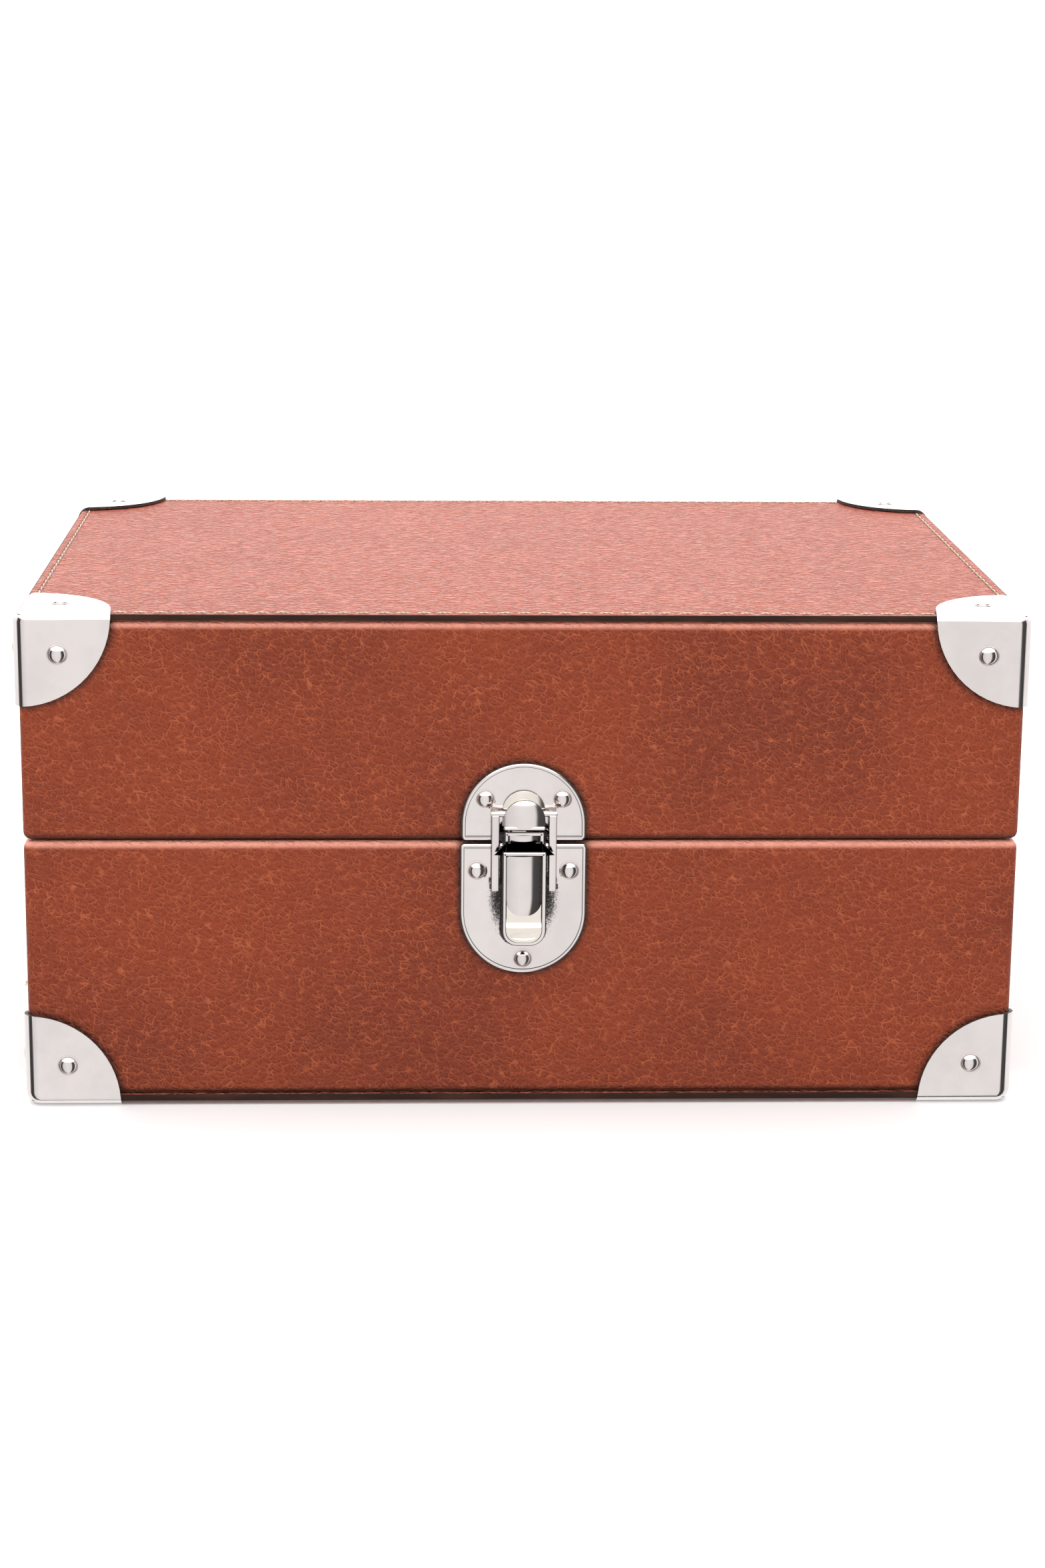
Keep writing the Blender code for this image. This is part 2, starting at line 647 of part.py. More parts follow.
def build_clasp(base, lid, lever, bail):
    build_clasp_plates(base, lid)
    build_hook(lid)
    build_bracket(base)
    build_lever(lever)
    build_bail(lever, bail)
    build_clasp_rivets(base, lid)


def build_base_fittings(base):
    """Ledges that carry the tray, and the dividers of the deep compartments below it."""
    wall = HALF_D - INNER_INSET - GAP
    length, deep = LEDGE
    half = length / 2
    floor = FLOOR_Z + GAP
    box("tray_ledge_front", (-half, -wall, floor), (half, -wall + deep, LEDGE_TOP), "suede", base)
    box("tray_ledge_rear", (-half, wall - deep, floor), (half, wall, LEDGE_TOP), "suede", base)
    reach = wall - deep - GAP
    for x, side in zip(BASE_DIVIDERS, ("left", "right")):
        low, high = (x - DIVIDER / 2, -reach, floor), (x + DIVIDER / 2, reach, LEDGE_TOP - 1.0)
        box(f"base_divider_{side}", low, high, "suede", base)


def tray_reach():
    """Half the tray's inside, across and from front to back."""
    inner = Vector((HALF_W - INNER_INSET - TRAY_SIDE_GAP, HALF_D - INNER_INSET - TRAY_END_GAP))
    return inner - Vector((TRAY_WALL, TRAY_WALL))


def build_tray(tray):
    x, y = tray_reach()
    low, high = TRAY_Z, TRAY_Z + TRAY_HEIGHT
    outer = (x + TRAY_WALL, y + TRAY_WALL)
    shell("tray_shell", (-outer[0], -outer[1], low), (*outer, high), TRAY_WALL, "suede", tray, (1,))
    x, y = x - GAP, y - GAP
    floor = low + TRAY_WALL + GAP
    top = high - 2.0
    half = DIVIDER / 2
    main_left, main_right = RING_SECTION_X - half, RING_SECTION_X + half
    rear_left, rear_right = REAR_SPLIT_X - half, REAR_SPLIT_X + half
    dividers = (
        ("tray_divider_main", (main_left, -y), (main_right, y)),
        ("tray_divider_ring", (-x, RING_SECTION_Y - half), (main_left - GAP, RING_SECTION_Y + half)),
        ("tray_divider_cross", (main_right + GAP, CROSS_Y - half), (x, CROSS_Y + half)),
        ("tray_divider_rear", (rear_left, CROSS_Y + half + GAP), (rear_right, y)),
    )
    for name, start, end in dividers:
        box(name, (*start, floor), (*end, top), "suede", tray)
    build_ring_rolls(tray, -x + 0.4, main_left - 0.7, -y + 0.4, RING_SECTION_Y - half - 0.7, floor)
    for sign, word in ((-1, "left"), (1, "right")):
        ends = sorted((sign * x, sign * (x - 1.0)))
        low_end, high_end = top - TAB_DROP, high + TAB_RISE
        near, far = TAB_Y - TAB_WIDTH / 2, TAB_Y + TAB_WIDTH / 2
        box(f"tray_tab_{word}", (ends[0], near, low_end), (ends[1], far, high_end), "leather", tray)


def build_ring_rolls(tray, left, right, front, rear, floor):
    """Padded rolls side by side, each a rounded bar with a flat underside."""
    pitch = (rear - front) / RING_ROLLS
    half = pitch / 2 - 0.25
    for i in range(RING_ROLLS):
        centre = front + pitch * (i + 0.5)
        outline = [(centre - half, floor), (centre + half, floor)]
        outline += arc((centre, floor + ROLL_HEIGHT - half), half, 0, 180, 12)
        curve = outline_curve(f"ring_roll_{i + 1}", [outline], right - left)
        at = ((left + right) / 2, 0.0, 0.0)
        add_object(f"ring_roll_{i + 1}", curve, at, "suede", tray, FACING_SIDE)


clear_scene()
PARTS = make_collection("jewellery_case")
CUTTERS = make_collection("cutters")


def build():
    CUTTERS.hide_render = True
    front = -HALF_D
    base = make_empty("base_body", (0.0, 0.0, 0.0))
    base.location.y = CASE_SHIFT * MM
    lid = make_empty("lid_axis", (0.0, AXIS_Y, SEAM_Z), base)
    stay = make_empty("stay_axis", (STAY_X, *stay_point(STAY_ANGLE)), lid)
    lever = make_empty("lever_axis", (0.0, front - LEVER_AXIS[0], SEAM_Z + LEVER_AXIS[1]), base)
    bail = make_empty("bail_axis", (0.0, front - BAIL_AXIS[0], SEAM_Z + BAIL_AXIS[1]), lever)
    tray = make_empty("tray_body", (0.0, 0.0, TRAY_Z), base)
    build_base(base)
    build_lid(lid)
    build_protectors(base, lid)
    build_hinges(base, lid)
    build_stay(base, lid, stay)
    build_clasp(base, lid, lever, bail)
    build_base_fittings(base)
    build_tray(tray)


build()
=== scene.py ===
from math import cos, pi, radians, sin

import bmesh
import bpy
from bpy.props import FloatProperty, FloatVectorProperty, PointerProperty
from bpy.types import Operator, Panel, PropertyGroup
from mathutils import Euler, Matrix, Vector, noise


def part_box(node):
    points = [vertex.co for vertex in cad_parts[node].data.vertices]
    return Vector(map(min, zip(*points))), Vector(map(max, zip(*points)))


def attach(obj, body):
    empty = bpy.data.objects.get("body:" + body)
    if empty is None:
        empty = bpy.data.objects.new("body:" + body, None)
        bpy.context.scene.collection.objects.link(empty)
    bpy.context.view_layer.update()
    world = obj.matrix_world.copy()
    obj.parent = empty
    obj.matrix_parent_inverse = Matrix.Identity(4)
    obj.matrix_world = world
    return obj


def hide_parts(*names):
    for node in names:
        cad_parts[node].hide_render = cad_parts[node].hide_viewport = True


bl_info = {
    "name": "Leather jewellery case",
    "version": (1, 0, 0),
    "blender": (4, 5, 0),
    "location": "3D View > Sidebar > Case",
    "description": "Finishes the jewellery case: leather, stitching, nickel fittings, suede lining and tray",
    "category": "Object",
}

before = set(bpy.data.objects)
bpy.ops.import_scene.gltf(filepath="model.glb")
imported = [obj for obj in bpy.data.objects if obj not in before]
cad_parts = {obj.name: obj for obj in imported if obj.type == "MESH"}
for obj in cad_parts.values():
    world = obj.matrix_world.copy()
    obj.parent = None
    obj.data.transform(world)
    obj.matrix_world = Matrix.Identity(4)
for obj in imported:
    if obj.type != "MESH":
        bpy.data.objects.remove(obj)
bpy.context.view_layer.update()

MM = 0.001
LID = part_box("lid_leather")
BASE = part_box("base_leather")
TOP_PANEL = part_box("top_panel")
BOTTOM_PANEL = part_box("bottom_panel")
SEAM_Z = (LID[0].z + BASE[1].z) / 2
FRONT_Y = LID[0].y
REAR_Y = LID[1].y
MID_Y = (FRONT_Y + REAR_Y) / 2
HALF_W = LID[1].x
HALF_D = (REAR_Y - FRONT_Y) / 2

# Where the clasp's parts stand: heights from the seam, and distances in front of the leather
UPPER_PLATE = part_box("clasp_upper_plate")
LOWER_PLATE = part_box("clasp_lower_plate")
LEVER_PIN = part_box("lever_pin")
BAIL_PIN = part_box("bail_pin")
CLASP_HALF = (UPPER_PLATE[1].x - UPPER_PLATE[0].x) / 2
UPWARD = Vector((0.0, 0.0, 1.0))

# Crowned plates of the clasp in millimetres: half width, foot, top, and the radii of foot and top
HOOK_BOSS = (6.2, 4.9, 15.5, 0.4, 6.2)
HOOK_SHIELD = (6.0, 6.2, 14.0, 0.3, 6.0)
BLOCK_FACE = (4.65, 0.35, 3.3, 0.5, 0.5)
LEVER_CROWN = (5.15, -20.3, -2.25, 4.6, 0.8)
LEVER_TOE = (5.15, -28.1, -16.0, 3.5, 0.2)

# Framed parts of the clasp in millimetres: half width, foot, top, foot radius, stand-out and depth
BLOCK_FRAME = (5.75, -0.75, 4.35, 0.8, 6.5, 5.0)
LEVER_FRAME = (6.35, -29.3, -1.05, 4.6, 8.7, 2.2)
RIM_RISE = 0.35

# Thicknesses and widths that follow the CAD pieces
WRAP_WALL = 6.75 * MM
LEATHER_SKIN = 0.18 * MM
PROTECTOR_OUT = 1.3 * MM
TRAY_WALL = 3.0 * MM
LINING_WALL = 1.0 * MM
MIRROR_BEVEL = 6.0 * MM
MIRROR_FRAME = 8.0 * MM

# How a ring roll is stuffed
ROLL_VOXEL = 1.8 * MM
ROLL_PRESSURE = 4.0
ROLL_FRAMES = 20

# The grain of the leather: cells in a metre, how they are turned and stretched, and how much they wander
GRAIN_CELLS, HAIR_CELLS = 600.0, 1250.0
GRAIN_TURN = (0.1, radians(-35), 0.2)
GRAIN_STRETCH = (0.55, 1.0, 1.0)
GRAIN_WANDER = 0.0026

# What polished metal sees round the case: bearings in degrees from straight ahead, and a brightness
STUDIO_TENT = (
    (-180, 2.50), (-100, 1.10), (-88, 1.00), (-84, 0.06), (-54, 0.05), (-47, 0.80), (-8, 0.97),
    (30, 0.90), (36, 0.08), (72, 0.05), (78, 0.98), (100, 1.10), (180, 2.50),
)
TENT_TOP = 2.5
TENT_SKIRT = 1.05
SKIRT_FADE = (0.05, 0.14)
OVERHEAD_FADE = (0.42, 0.62)
AMBIENT = 0.70
OVERHEAD_STRENGTH, OVERHEAD_SPREAD = 2.9, 100.0

# Where the camera stands in metres, its yaw, pitch and roll in degrees, and its lens in millimetres
CAMERA_PLACE = (-0.0348, -0.9856, 0.3158)
CAMERA_TURN = (-2.237, 13.9, 0.544)
CAMERA_LENS = 71.9


# ---------------------------------------------------------------- settings


def length(name, description, default):
    return FloatProperty(name=name, description=description, default=default, min=0.0, unit="LENGTH", precision=5)


def colour(name, description, default):
    return FloatVectorProperty(
        name=name, description=description, default=default, size=3, min=0.0, max=1.0, subtype="COLOR"
    )


class CASE_PG_sizes(PropertyGroup):
    """Sizes of the finish, in metres."""

    wrap_edge: length("Wrap edge", "Radius of the leather where it turns over the board", 2.2 * MM)
    wrap_turn: length("Wrap turn-in", "How far the leather runs down inside the rim", 5.0 * MM)
    panel_bead: length("Painted bead", "Width of the painted edge round the two panels", 0.35 * MM)
    stitch_pitch: length("Stitch pitch", "From one stitch to the next", 5.8 * MM)
    stitch_length: length("Stitch length", "Length of the thread that shows", 5.1 * MM)
    stitch_inset: length("Stitch inset", "From the panel's edge to the stitching", 2.8 * MM)
    thread: length("Thread", "Thickness of the thread", 0.56 * MM)
    protector_radius: length("Protector radius", "From the case's corner to the protector's edge", 26.7 * MM)
    protector_roll: length("Protector roll", "Radius where a protector turns from face to face", 4.2 * MM)
    protector_metal: length("Protector metal", "Thickness of the corner protectors", 1.0 * MM)
    rivet_inset: length("Rivet inset", "From the case's edges to a protector's rivet", 11.5 * MM)
    rivet_radius: length("Rivet radius", "Radius of a rivet's head", 2.45 * MM)
    rivet_height: length("Rivet height", "Height of a rivet's head", 1.5 * MM)
    corner_rivet: length("Corner rivet radius", "Radius of a protector's rivet head", 2.65 * MM)
    plate_rim: length("Plate rim", "Width of the raised rim round the clasp's plates", 0.95 * MM)
    groove: length("Groove", "Width of the dark line inside a rim", 0.17 * MM)
    roll_swell: length("Roll swell", "How far a ring roll swells when it is stuffed", 0.9 * MM)


class CASE_PG_colours(PropertyGroup):
    """Colours of the finish."""

    leather_dark: colour("Leather, dark", "Where the dye is deepest", (0.138, 0.0200, 0.0078))
    leather_light: colour("Leather, light", "Where the dye is thin", (0.258, 0.0400, 0.0110))
    # Painted highlight: the bright colour the turned top edges get
    leather_highlight: colour("Leather, worn", "Rubbed edges", (0.78, 0.33, 0.24))
    # Painted sheen: the paler, pinker colour standing for the panels' glancing reflection
    leather_sheen: colour("Leather, faded", "The top panel, where light has faded it", (0.92, 0.26, 0.17))
    leather_crease: colour("Leather, crease", "Along the creases of the grain", (0.47, 0.115, 0.042))
    edge_paint: colour("Edge paint", "Painted edge of the panels", (0.022, 0.009, 0.006))
    thread: colour("Thread", "Waxed thread", (0.80, 0.64, 0.50))
    nickel: colour("Nickel", "Polished fittings", (0.84, 0.775, 0.755))
    # Painted reflection: a warm tint on the hook's boss and the lever's toe for the leather they reflect
    brassy: colour("Nickel, yellowed", "Plate that has yellowed a little", (0.93, 0.85, 0.77))
    # Dark metal for grime, and for painted shadow and shade round the lever, in grooves and on walls
    tarnish: colour("Tarnish", "Darkened metal round the lever and in the grooves", (0.030, 0.026, 0.024))
    suede: colour("Suede", "Lining", (0.46, 0.33, 0.22))
    board: colour("Board", "Board under the leather", (0.33, 0.24, 0.16))
    glass: colour("Glass", "Silvered glass", (0.90, 0.92, 0.93))


def sizes():
    return bpy.context.scene.case_sizes


def colours():
    return bpy.context.scene.case_colours


# ---------------------------------------------------------------- materials


class Finish:
    """One material and the nodes that make it."""

    def __init__(self, name):
        self.material = bpy.data.materials.new(name)
        self.material.use_nodes = True
        self.tree = self.material.node_tree
        self.shader = self.tree.nodes["Principled BSDF"]
        self.place = self.node("ShaderNodeTexCoord").outputs["Object"]

    def node(self, kind, **settings):
        made = self.tree.nodes.new(kind)
        for name, value in settings.items():
            setattr(made, name, value)
        return made

    def feed(self, node, name, value):
        socket = node.inputs[name]
        if isinstance(value, bpy.types.NodeSocket):
            self.tree.links.new(value, socket)
        else:
            socket.default_value = value

    def math(self, operation, first, second=0.0):
        made = self.node("ShaderNodeMath", operation=operation)
        self.feed(made, 0, first)
        self.feed(made, 1, second)
        return made.outputs[0]

    def times(self, first, second):
        return self.math("MULTIPLY", first, second)

    def plus(self, first, second):
        return self.math("ADD", first, second)

    def less(self, first, second):
        return self.math("SUBTRACT", first, second)

    def apart(self, first, second):
        """How far two numbers are from each other."""
        return self.math("ABSOLUTE", self.less(first, second))

    def span(self, value, low, high, start=0.0, end=1.0):
        """Maps low to high onto start to end, smoothly."""
        made = self.node("ShaderNodeMapRange", interpolation_type="SMOOTHSTEP")
        for name, number in (("From Min", low), ("From Max", high), ("To Min", start), ("To Max", end)):
            self.feed(made, name, number)
        self.feed(made, "Value", value)
        return made.outputs["Result"]

    def noise(self, scale, detail=2.0, roughness=0.5, where=None, output="Fac"):
        made = self.node("ShaderNodeTexNoise")
        self.feed(made, "Vector", where or self.place)
        for name, number in (("Scale", scale), ("Detail", detail), ("Roughness", roughness)):
            self.feed(made, name, number)
        return made.outputs[output]

    def cells(self, scale, where):
        """Distance from the border of the nearest cell, in cell widths."""
        made = self.node("ShaderNodeTexVoronoi", feature="DISTANCE_TO_EDGE")
        self.feed(made, "Vector", where)
        self.feed(made, "Scale", scale)
        return made.outputs["Distance"]

    def mapped(self, turn=(0.0, 0.0, 0.0), scale=(1.0, 1.0, 1.0)):
        """Turns the pattern, and then stretches it along its own axes."""
        where = self.place
        for name, value in (("Rotation", turn), ("Scale", scale)):
            made = self.node("ShaderNodeMapping")
            self.feed(made, "Vector", where)
            self.feed(made, name, value)
            where = made.outputs["Vector"]
        return where

    def blend(self, factor, first, second):
        made = self.node("ShaderNodeMix", data_type="RGBA")
        self.feed(made, 0, factor)
        for slot, value in ((6, first), (7, second)):
            self.feed(made, slot, value if isinstance(value, bpy.types.NodeSocket) else (*value, 1.0))
        return made.outputs[2]

    def axes(self):
        made = self.node("ShaderNodeSeparateXYZ")
        self.feed(made, 0, self.place)
        return made.outputs

    def distance(self, *parts):
        """Length of the vector that two or three numbers make."""
        join = self.node("ShaderNodeCombineXYZ")
        for index, part in enumerate(parts):
            self.feed(join, index, part)
        measure = self.node("ShaderNodeVectorMath", operation="LENGTH")
        self.feed(measure, 0, join.outputs[0])
        return measure.outputs["Value"]

    def paint(self, tone, roughness):
        self.feed(self.shader, "Base Color", tone)
        self.feed(self.shader, "Roughness", roughness)

    def bump(self, height, strength, distance):
        made = self.node("ShaderNodeBump")
        self.feed(made, "Height", height)
        self.feed(made, "Strength", strength)
        self.feed(made, "Distance", distance)
        self.feed(self.shader, "Normal", made.outputs["Normal"])

    def dress(self, **constants):
        """Sets plain values on the shader's own sockets."""
        for name, value in constants.items():
            self.shader.inputs[name.replace("_", " ")].default_value = value


def finish(name):
    """The named material, made once."""
    return bpy.data.materials.get(name) or FINISHES[name](name)


def leather(name, relief=1.0, grain=1.0, pale=0.0, stitched=None, lit=None, shaded=None, corners=None):
    """Grained cowhide: cells a few millimetres across with fine paler creases, and cloudy dye.

    lit is the height where a turned edge gets a painted highlight, and shaded the height where it gets painted shade;
    corners is the height of the case's corners, round whose protectors and round the clasp the leather gets painted
    shadow.
    """
    f = Finish(name)
    tint = colours()
    drift = f.node("ShaderNodeVectorMath", operation="MULTIPLY_ADD")
    f.feed(drift, 0, f.noise(110.0, 1.5, output="Color"))
    f.feed(drift, 1, (GRAIN_WANDER,) * 3)
    f.feed(drift, 2, f.mapped(turn=GRAIN_TURN, scale=GRAIN_STRETCH))
    coarse = f.cells(GRAIN_CELLS * grain, drift.outputs[0])
    fine = f.cells(HAIR_CELLS * grain, drift.outputs[0])
    crease = f.span(coarse, 0.0, 0.075, 1.0, 0.0)
    hair = f.span(fine, 0.0, 0.10, 1.0, 0.0)
    region = f.span(f.noise(45.0, 3.0, 0.6), 0.36, 0.62, 0.70, 1.0)
    dashes = f.span(f.noise(330.0, 2.0, 0.5), 0.38, 0.62, 0.25, 1.0)
    cloud = f.span(f.noise(14.0, 3.0, 0.55), 0.32, 0.68, 0.2, 0.8)
    mottle = f.noise(330.0, 4.0, 0.65)
    dye = f.blend(cloud, tint.leather_dark[:], tint.leather_light[:])
    dye = f.blend(f.span(mottle, 0.3, 0.75, 0.0, 0.45), dye, tint.leather_dark[:])
    lines = f.times(crease, f.times(region, dashes))
    # On the panels the creases get the dark dye as painted shade; elsewhere they get the paler crease colour
    furrow = tint.leather_dark[:] if pale else tint.leather_crease[:]
    # Painted sheen: the panels' dye blended towards a paler, pinker colour
    if pale:
        dye = f.blend(pale, dye, tint.leather_sheen[:])
    dye = f.blend(f.times(lines, 0.62), dye, furrow)
    dye = f.blend(f.times(f.times(hair, dashes), 0.36), dye, furrow)
    # Painted highlight along the turned top edge, mottled
    if lit:
        highlight = f.span(height_from(f, lit), 0.5 * MM, 2.5 * MM, 1.0, 0.0)
        dye = f.blend(f.times(highlight, f.span(mottle, 0.2, 0.6, 0.75, 1.0)), dye, tint.leather_highlight[:])
    # Painted shade along the turned edge at the shaded height, and painted shadow round the corner protectors and the
    # clasp plates, in the edge paint's colour
    shades = []
    if shaded:
        shades.append((height_from(f, shaded), 0.4 * MM, 2.6 * MM, 0.75))
    if corners:
        reach = sizes().protector_radius
        shades.append((corner_distance(f, corners), reach, reach + 2.6 * MM, 0.6))
        shades.append((clasp_distance(f), CLASP_HALF, CLASP_HALF + 2.4 * MM, 0.62))
    for away, near, far, depth in shades:
        dye = f.blend(f.span(away, near, far, depth, 0.0), dye, tint.edge_paint[:])
    f.paint(dye, f.span(mottle, 0.25, 0.8, 0.36, 0.52))
    height = f.plus(f.span(coarse, 0.0, 0.34), f.times(f.span(fine, 0.0, 0.3), 0.35))
    height = f.plus(height, f.times(mottle, 0.35))
    if stitched:
        height = f.less(height, f.times(groove(f, *stitched), 1.5))
    f.bump(height, 0.85, 0.26 * MM * relief)
    f.dress(Specular_IOR_Level=0.24)
    return f.material


def height_from(f, level):
    """How far a point is above or below a level."""
    return f.apart(f.axes()["Z"], level)


def corner_distance(f, level):
    """How far a point is from the nearest of the four corners at one height."""
    x, y, z = f.axes().values()
    across = f.less(f.math("ABSOLUTE", x), HALF_W)
    deep = f.less(f.apart(y, MID_Y), HALF_D)
    return f.distance(across, deep, f.less(z, level))


def clasp_distance(f):
    """How far a point is from the middle line of the clasp's two plates."""
    x, y, z = f.axes().values()
    above = f.less(z, UPPER_PLATE[1].z - CLASP_HALF)
    below = f.less(LOWER_PLATE[0].z + CLASP_HALF, z)
    past = f.math("MAXIMUM", f.math("MAXIMUM", above, below), 0.0)
    behind = f.math("MAXIMUM", f.less(y, FRONT_Y + 1.0 * MM), 0.0)
    return f.distance(x, past, behind)


def groove(f, half_width, half_depth, middle, inset):
    """1 along a rectangle inset from the edges of a panel, where the stitching pulls the leather in."""
    x, y, _ = f.axes().values()
    across = f.less(half_width - inset, f.math("ABSOLUTE", x))
    along = f.less(half_depth - inset, f.apart(y, middle))
    edge = f.math("ABSOLUTE", f.math("MINIMUM", across, along))
    return f.span(edge, 0.0, 0.9 * MM, 1.0, 0.0)


def panel_leather(name):
    return leather(name, relief=7.0, grain=0.62, pale=0.44, stitched=(HALF_W, HALF_D, MID_Y, sizes().stitch_inset))


def lid_leather(name):
    return leather(name, lit=LID[1].z, shaded=LID[0].z, corners=TOP_PANEL[1].z)


def base_leather(name):
    return leather(name, lit=BASE[1].z, shaded=BASE[0].z, corners=BOTTOM_PANEL[0].z)


def edge_paint(name):
    """Brushed-on edge paint over the cut layers of leather."""
    f = Finish(name)
    strokes = f.noise(320.0, 4.0, 0.6, f.mapped(scale=(0.12, 0.12, 1.0)))
    lighter = [min(1.0, 2.4 * c) for c in colours().edge_paint]
    f.paint(
        f.blend(f.span(strokes, 0.4, 0.75), colours().edge_paint[:], lighter),
        f.span(strokes, 0.3, 0.7, 0.45, 0.65),
    )
    f.bump(strokes, 0.3, 0.1 * MM)
    f.dress(Specular_IOR_Level=0.15)
    return f.material


def waxed_thread(name):
    """Twisted thread: fine oblique ridges, with painted shade between them."""
    f = Finish(name)
    twist = f.node("ShaderNodeTexWave", wave_type="BANDS", bands_direction="DIAGONAL")
    f.feed(twist, "Vector", f.place)
    f.feed(twist, "Scale", 420.0)
    f.feed(twist, "Distortion", 1.5)
    shade = f.span(twist.outputs["Fac"], 0.1, 0.8)
    darker = [0.55 * c for c in colours().thread]
    f.paint(f.blend(shade, darker, colours().thread[:]), f.span(f.noise(800.0), 0.3, 0.7, 0.5, 0.7))
    f.bump(twist.outputs["Fac"], 0.5, 0.08 * MM)
    return f.material


def nickel(name, tarnished=False, tint="nickel"):
    """Polished plate with faint handling marks; round the lever it gets painted shadow, speckled as tarnish."""
    f = Finish(name)
    f.dress(Metallic=1.0)
    clean = getattr(colours(), tint)
    haze = f.noise(70.0, 4.0, 0.6)
    hairlines = f.noise(420.0, 3.0, 0.7, f.mapped(turn=(0.3, 0.5, 0.2), scale=(0.08, 1.0, 1.0)))
    tone = f.blend(f.span(haze, 0.35, 0.7), clean[:], [0.93 * c for c in clean])
    rough = f.plus(f.span(haze, 0.3, 0.75, 0.10, 0.17), f.span(hairlines, 0.6, 0.85, 0.0, 0.08))
    # Painted shadow round the lever and arms, in specks
    if tarnished:
        dark = lever_shadow_specks(f)
        tone = f.blend(dark, tone, colours().tarnish[:])
        rough = f.plus(rough, f.times(dark, 0.4))
    f.paint(tone, rough)
    f.bump(f.plus(haze, f.times(hairlines, 0.12)), 0.12, 0.05 * MM)
    return f.material


def lever_shadow_specks(f):
    """1 where the plate gets painted shadow, speckled as tarnish: close round the block and lever, and in a speckled
    cloud by each arm.
    """
    x, _, z = f.axes().values()
    side = f.math("ABSOLUTE", x)
    inner, rise = 2.0 * MM, 13.4 * MM
    past_side = f.math("MAXIMUM", f.less(side, inner), 0.0)
    from_middle = f.apart(z, SEAM_Z - 12.9 * MM)
    past_end = f.math("MAXIMUM", f.less(from_middle, rise), 0.0)
    away = f.distance(past_side, past_end)
    close = f.span(away, 4.5 * MM, 5.7 * MM, 1.0, 0.0)
    halo = f.span(away, 4.6 * MM, 8.5 * MM, 0.32, 0.0)
    across = f.math("DIVIDE", f.less(side, 8.0 * MM), 4.0 * MM)
    down = f.math("DIVIDE", f.less(z, SEAM_Z - 16.5 * MM), 11.0 * MM)
    cloud = f.span(f.distance(across, down), 0.10, 1.40, 0.66, 0.0)
    reach = f.math("MAXIMUM", close, f.plus(halo, cloud))
    specks = f.times(f.noise(2200.0, 4.0, 0.75), 1.4)
    return f.span(f.plus(reach, specks), 1.12, 1.62, 0.0, 0.96)


def tarnished_nickel(name):
    return nickel(name, tarnished=True)


# Nickel with a painted warm reflection of the leather
def brassy_nickel(name):
    return nickel(name, tint="brassy")


def grime(name):
    """Dark metal: grime where the polish never reaches, and painted shade, in grooves, on cut edges and on walls."""
    f = Finish(name)
    f.dress(Metallic=0.5)
    specks = f.noise(1500.0, 4.0, 0.7)
    paler = [4.0 * c for c in colours().tarnish]
    f.paint(f.blend(f.span(specks, 0.35, 0.75), colours().tarnish[:], paler), f.span(specks, 0.3, 0.7, 0.45, 0.7))
    f.bump(specks, 0.2, 0.05 * MM)
    return f.material


def suede(name):
    """Napped lining: soft patches where the nap lies another way, over a fine fibre."""
    f = Finish(name)
    nap = f.span(f.noise(28.0, 4.0, 0.6), 0.35, 0.65)
    fibre = f.noise(1900.0, 4.0, 0.7)
    deep = [0.74 * c for c in colours().suede]
    tone = f.blend(nap, deep, colours().suede[:])
    tone = f.blend(f.span(fibre, 0.35, 0.7, 0.35, 0.0), tone, [0.5 * c for c in colours().suede])
    f.paint(tone, f.span(nap, 0.0, 1.0, 0.82, 0.95))
    f.bump(f.plus(fibre, f.times(nap, 0.4)), 0.4, 0.25 * MM)
    f.dress(Sheen_Weight=0.45, Sheen_Roughness=0.4)
    return f.material


def board(name):
    """Grey-brown millboard with short pressed fibres."""
    f = Finish(name)
    fibre = f.noise(600.0, 5.0, 0.7, f.mapped(scale=(0.3, 0.3, 1.0)))
    dark = [0.6 * c for c in colours().board]
    f.paint(f.blend(f.span(fibre, 0.35, 0.7), dark, colours().board[:]), f.span(fibre, 0.3, 0.7, 0.75, 0.9))
    f.bump(fibre, 0.3, 0.15 * MM)
    return f.material


def silvered_glass(name):
    """A mirror with a trace of haze in soft patches."""
    f = Finish(name)
    f.dress(Metallic=1.0)
    haze = f.noise(40.0, 3.0)
    dim = [0.96 * c for c in colours().glass]
    f.paint(f.blend(haze, colours().glass[:], dim), f.span(haze, 0.3, 0.8, 0.01, 0.035))
    return f.material


FINISHES = {
    "leather_of_lid": lid_leather,
    "leather_of_base": base_leather,
    "stitched_leather": panel_leather,
    "grained_leather": leather,
    "edge_paint": edge_paint,
    "waxed_thread": waxed_thread,
    "polished_nickel": nickel,
    "tarnished_nickel": tarnished_nickel,
    "brassy_nickel": brassy_nickel,
    "grime": grime,
    "suede": suede,
    "millboard": board,
    "silvered_glass": silvered_glass,
}


# ---------------------------------------------------------------- modelling


def in_clasp(across, out, up):
    """A place on the clasp in metres: across, in front of the leather, and up from the seam, in millimetres."""
    return Vector((across * MM, FRONT_Y - out * MM, SEAM_Z + up * MM))


def middle_of(box):
    return (box[0] + box[1]) / 2


def block(bm, low, high):
    """A box between two corners. Returns its faces."""
    middle = (Vector(low) + Vector(high)) / 2
    made = bmesh.ops.create_cube(bm, size=1.0)["verts"]
    bmesh.ops.scale(bm, vec=Vector(high) - Vector(low), verts=made)
    bmesh.ops.translate(bm, vec=middle, verts=made)
    return list({face for vert in made for face in vert.link_faces})


def round_off(bm, edges, radius, segments=3):
    return bmesh.ops.bevel(
        bm, geom=list(edges), offset=radius, segments=segments, profile=0.5, affect="EDGES", material=-1,
        clamp_overlap=True,
    )


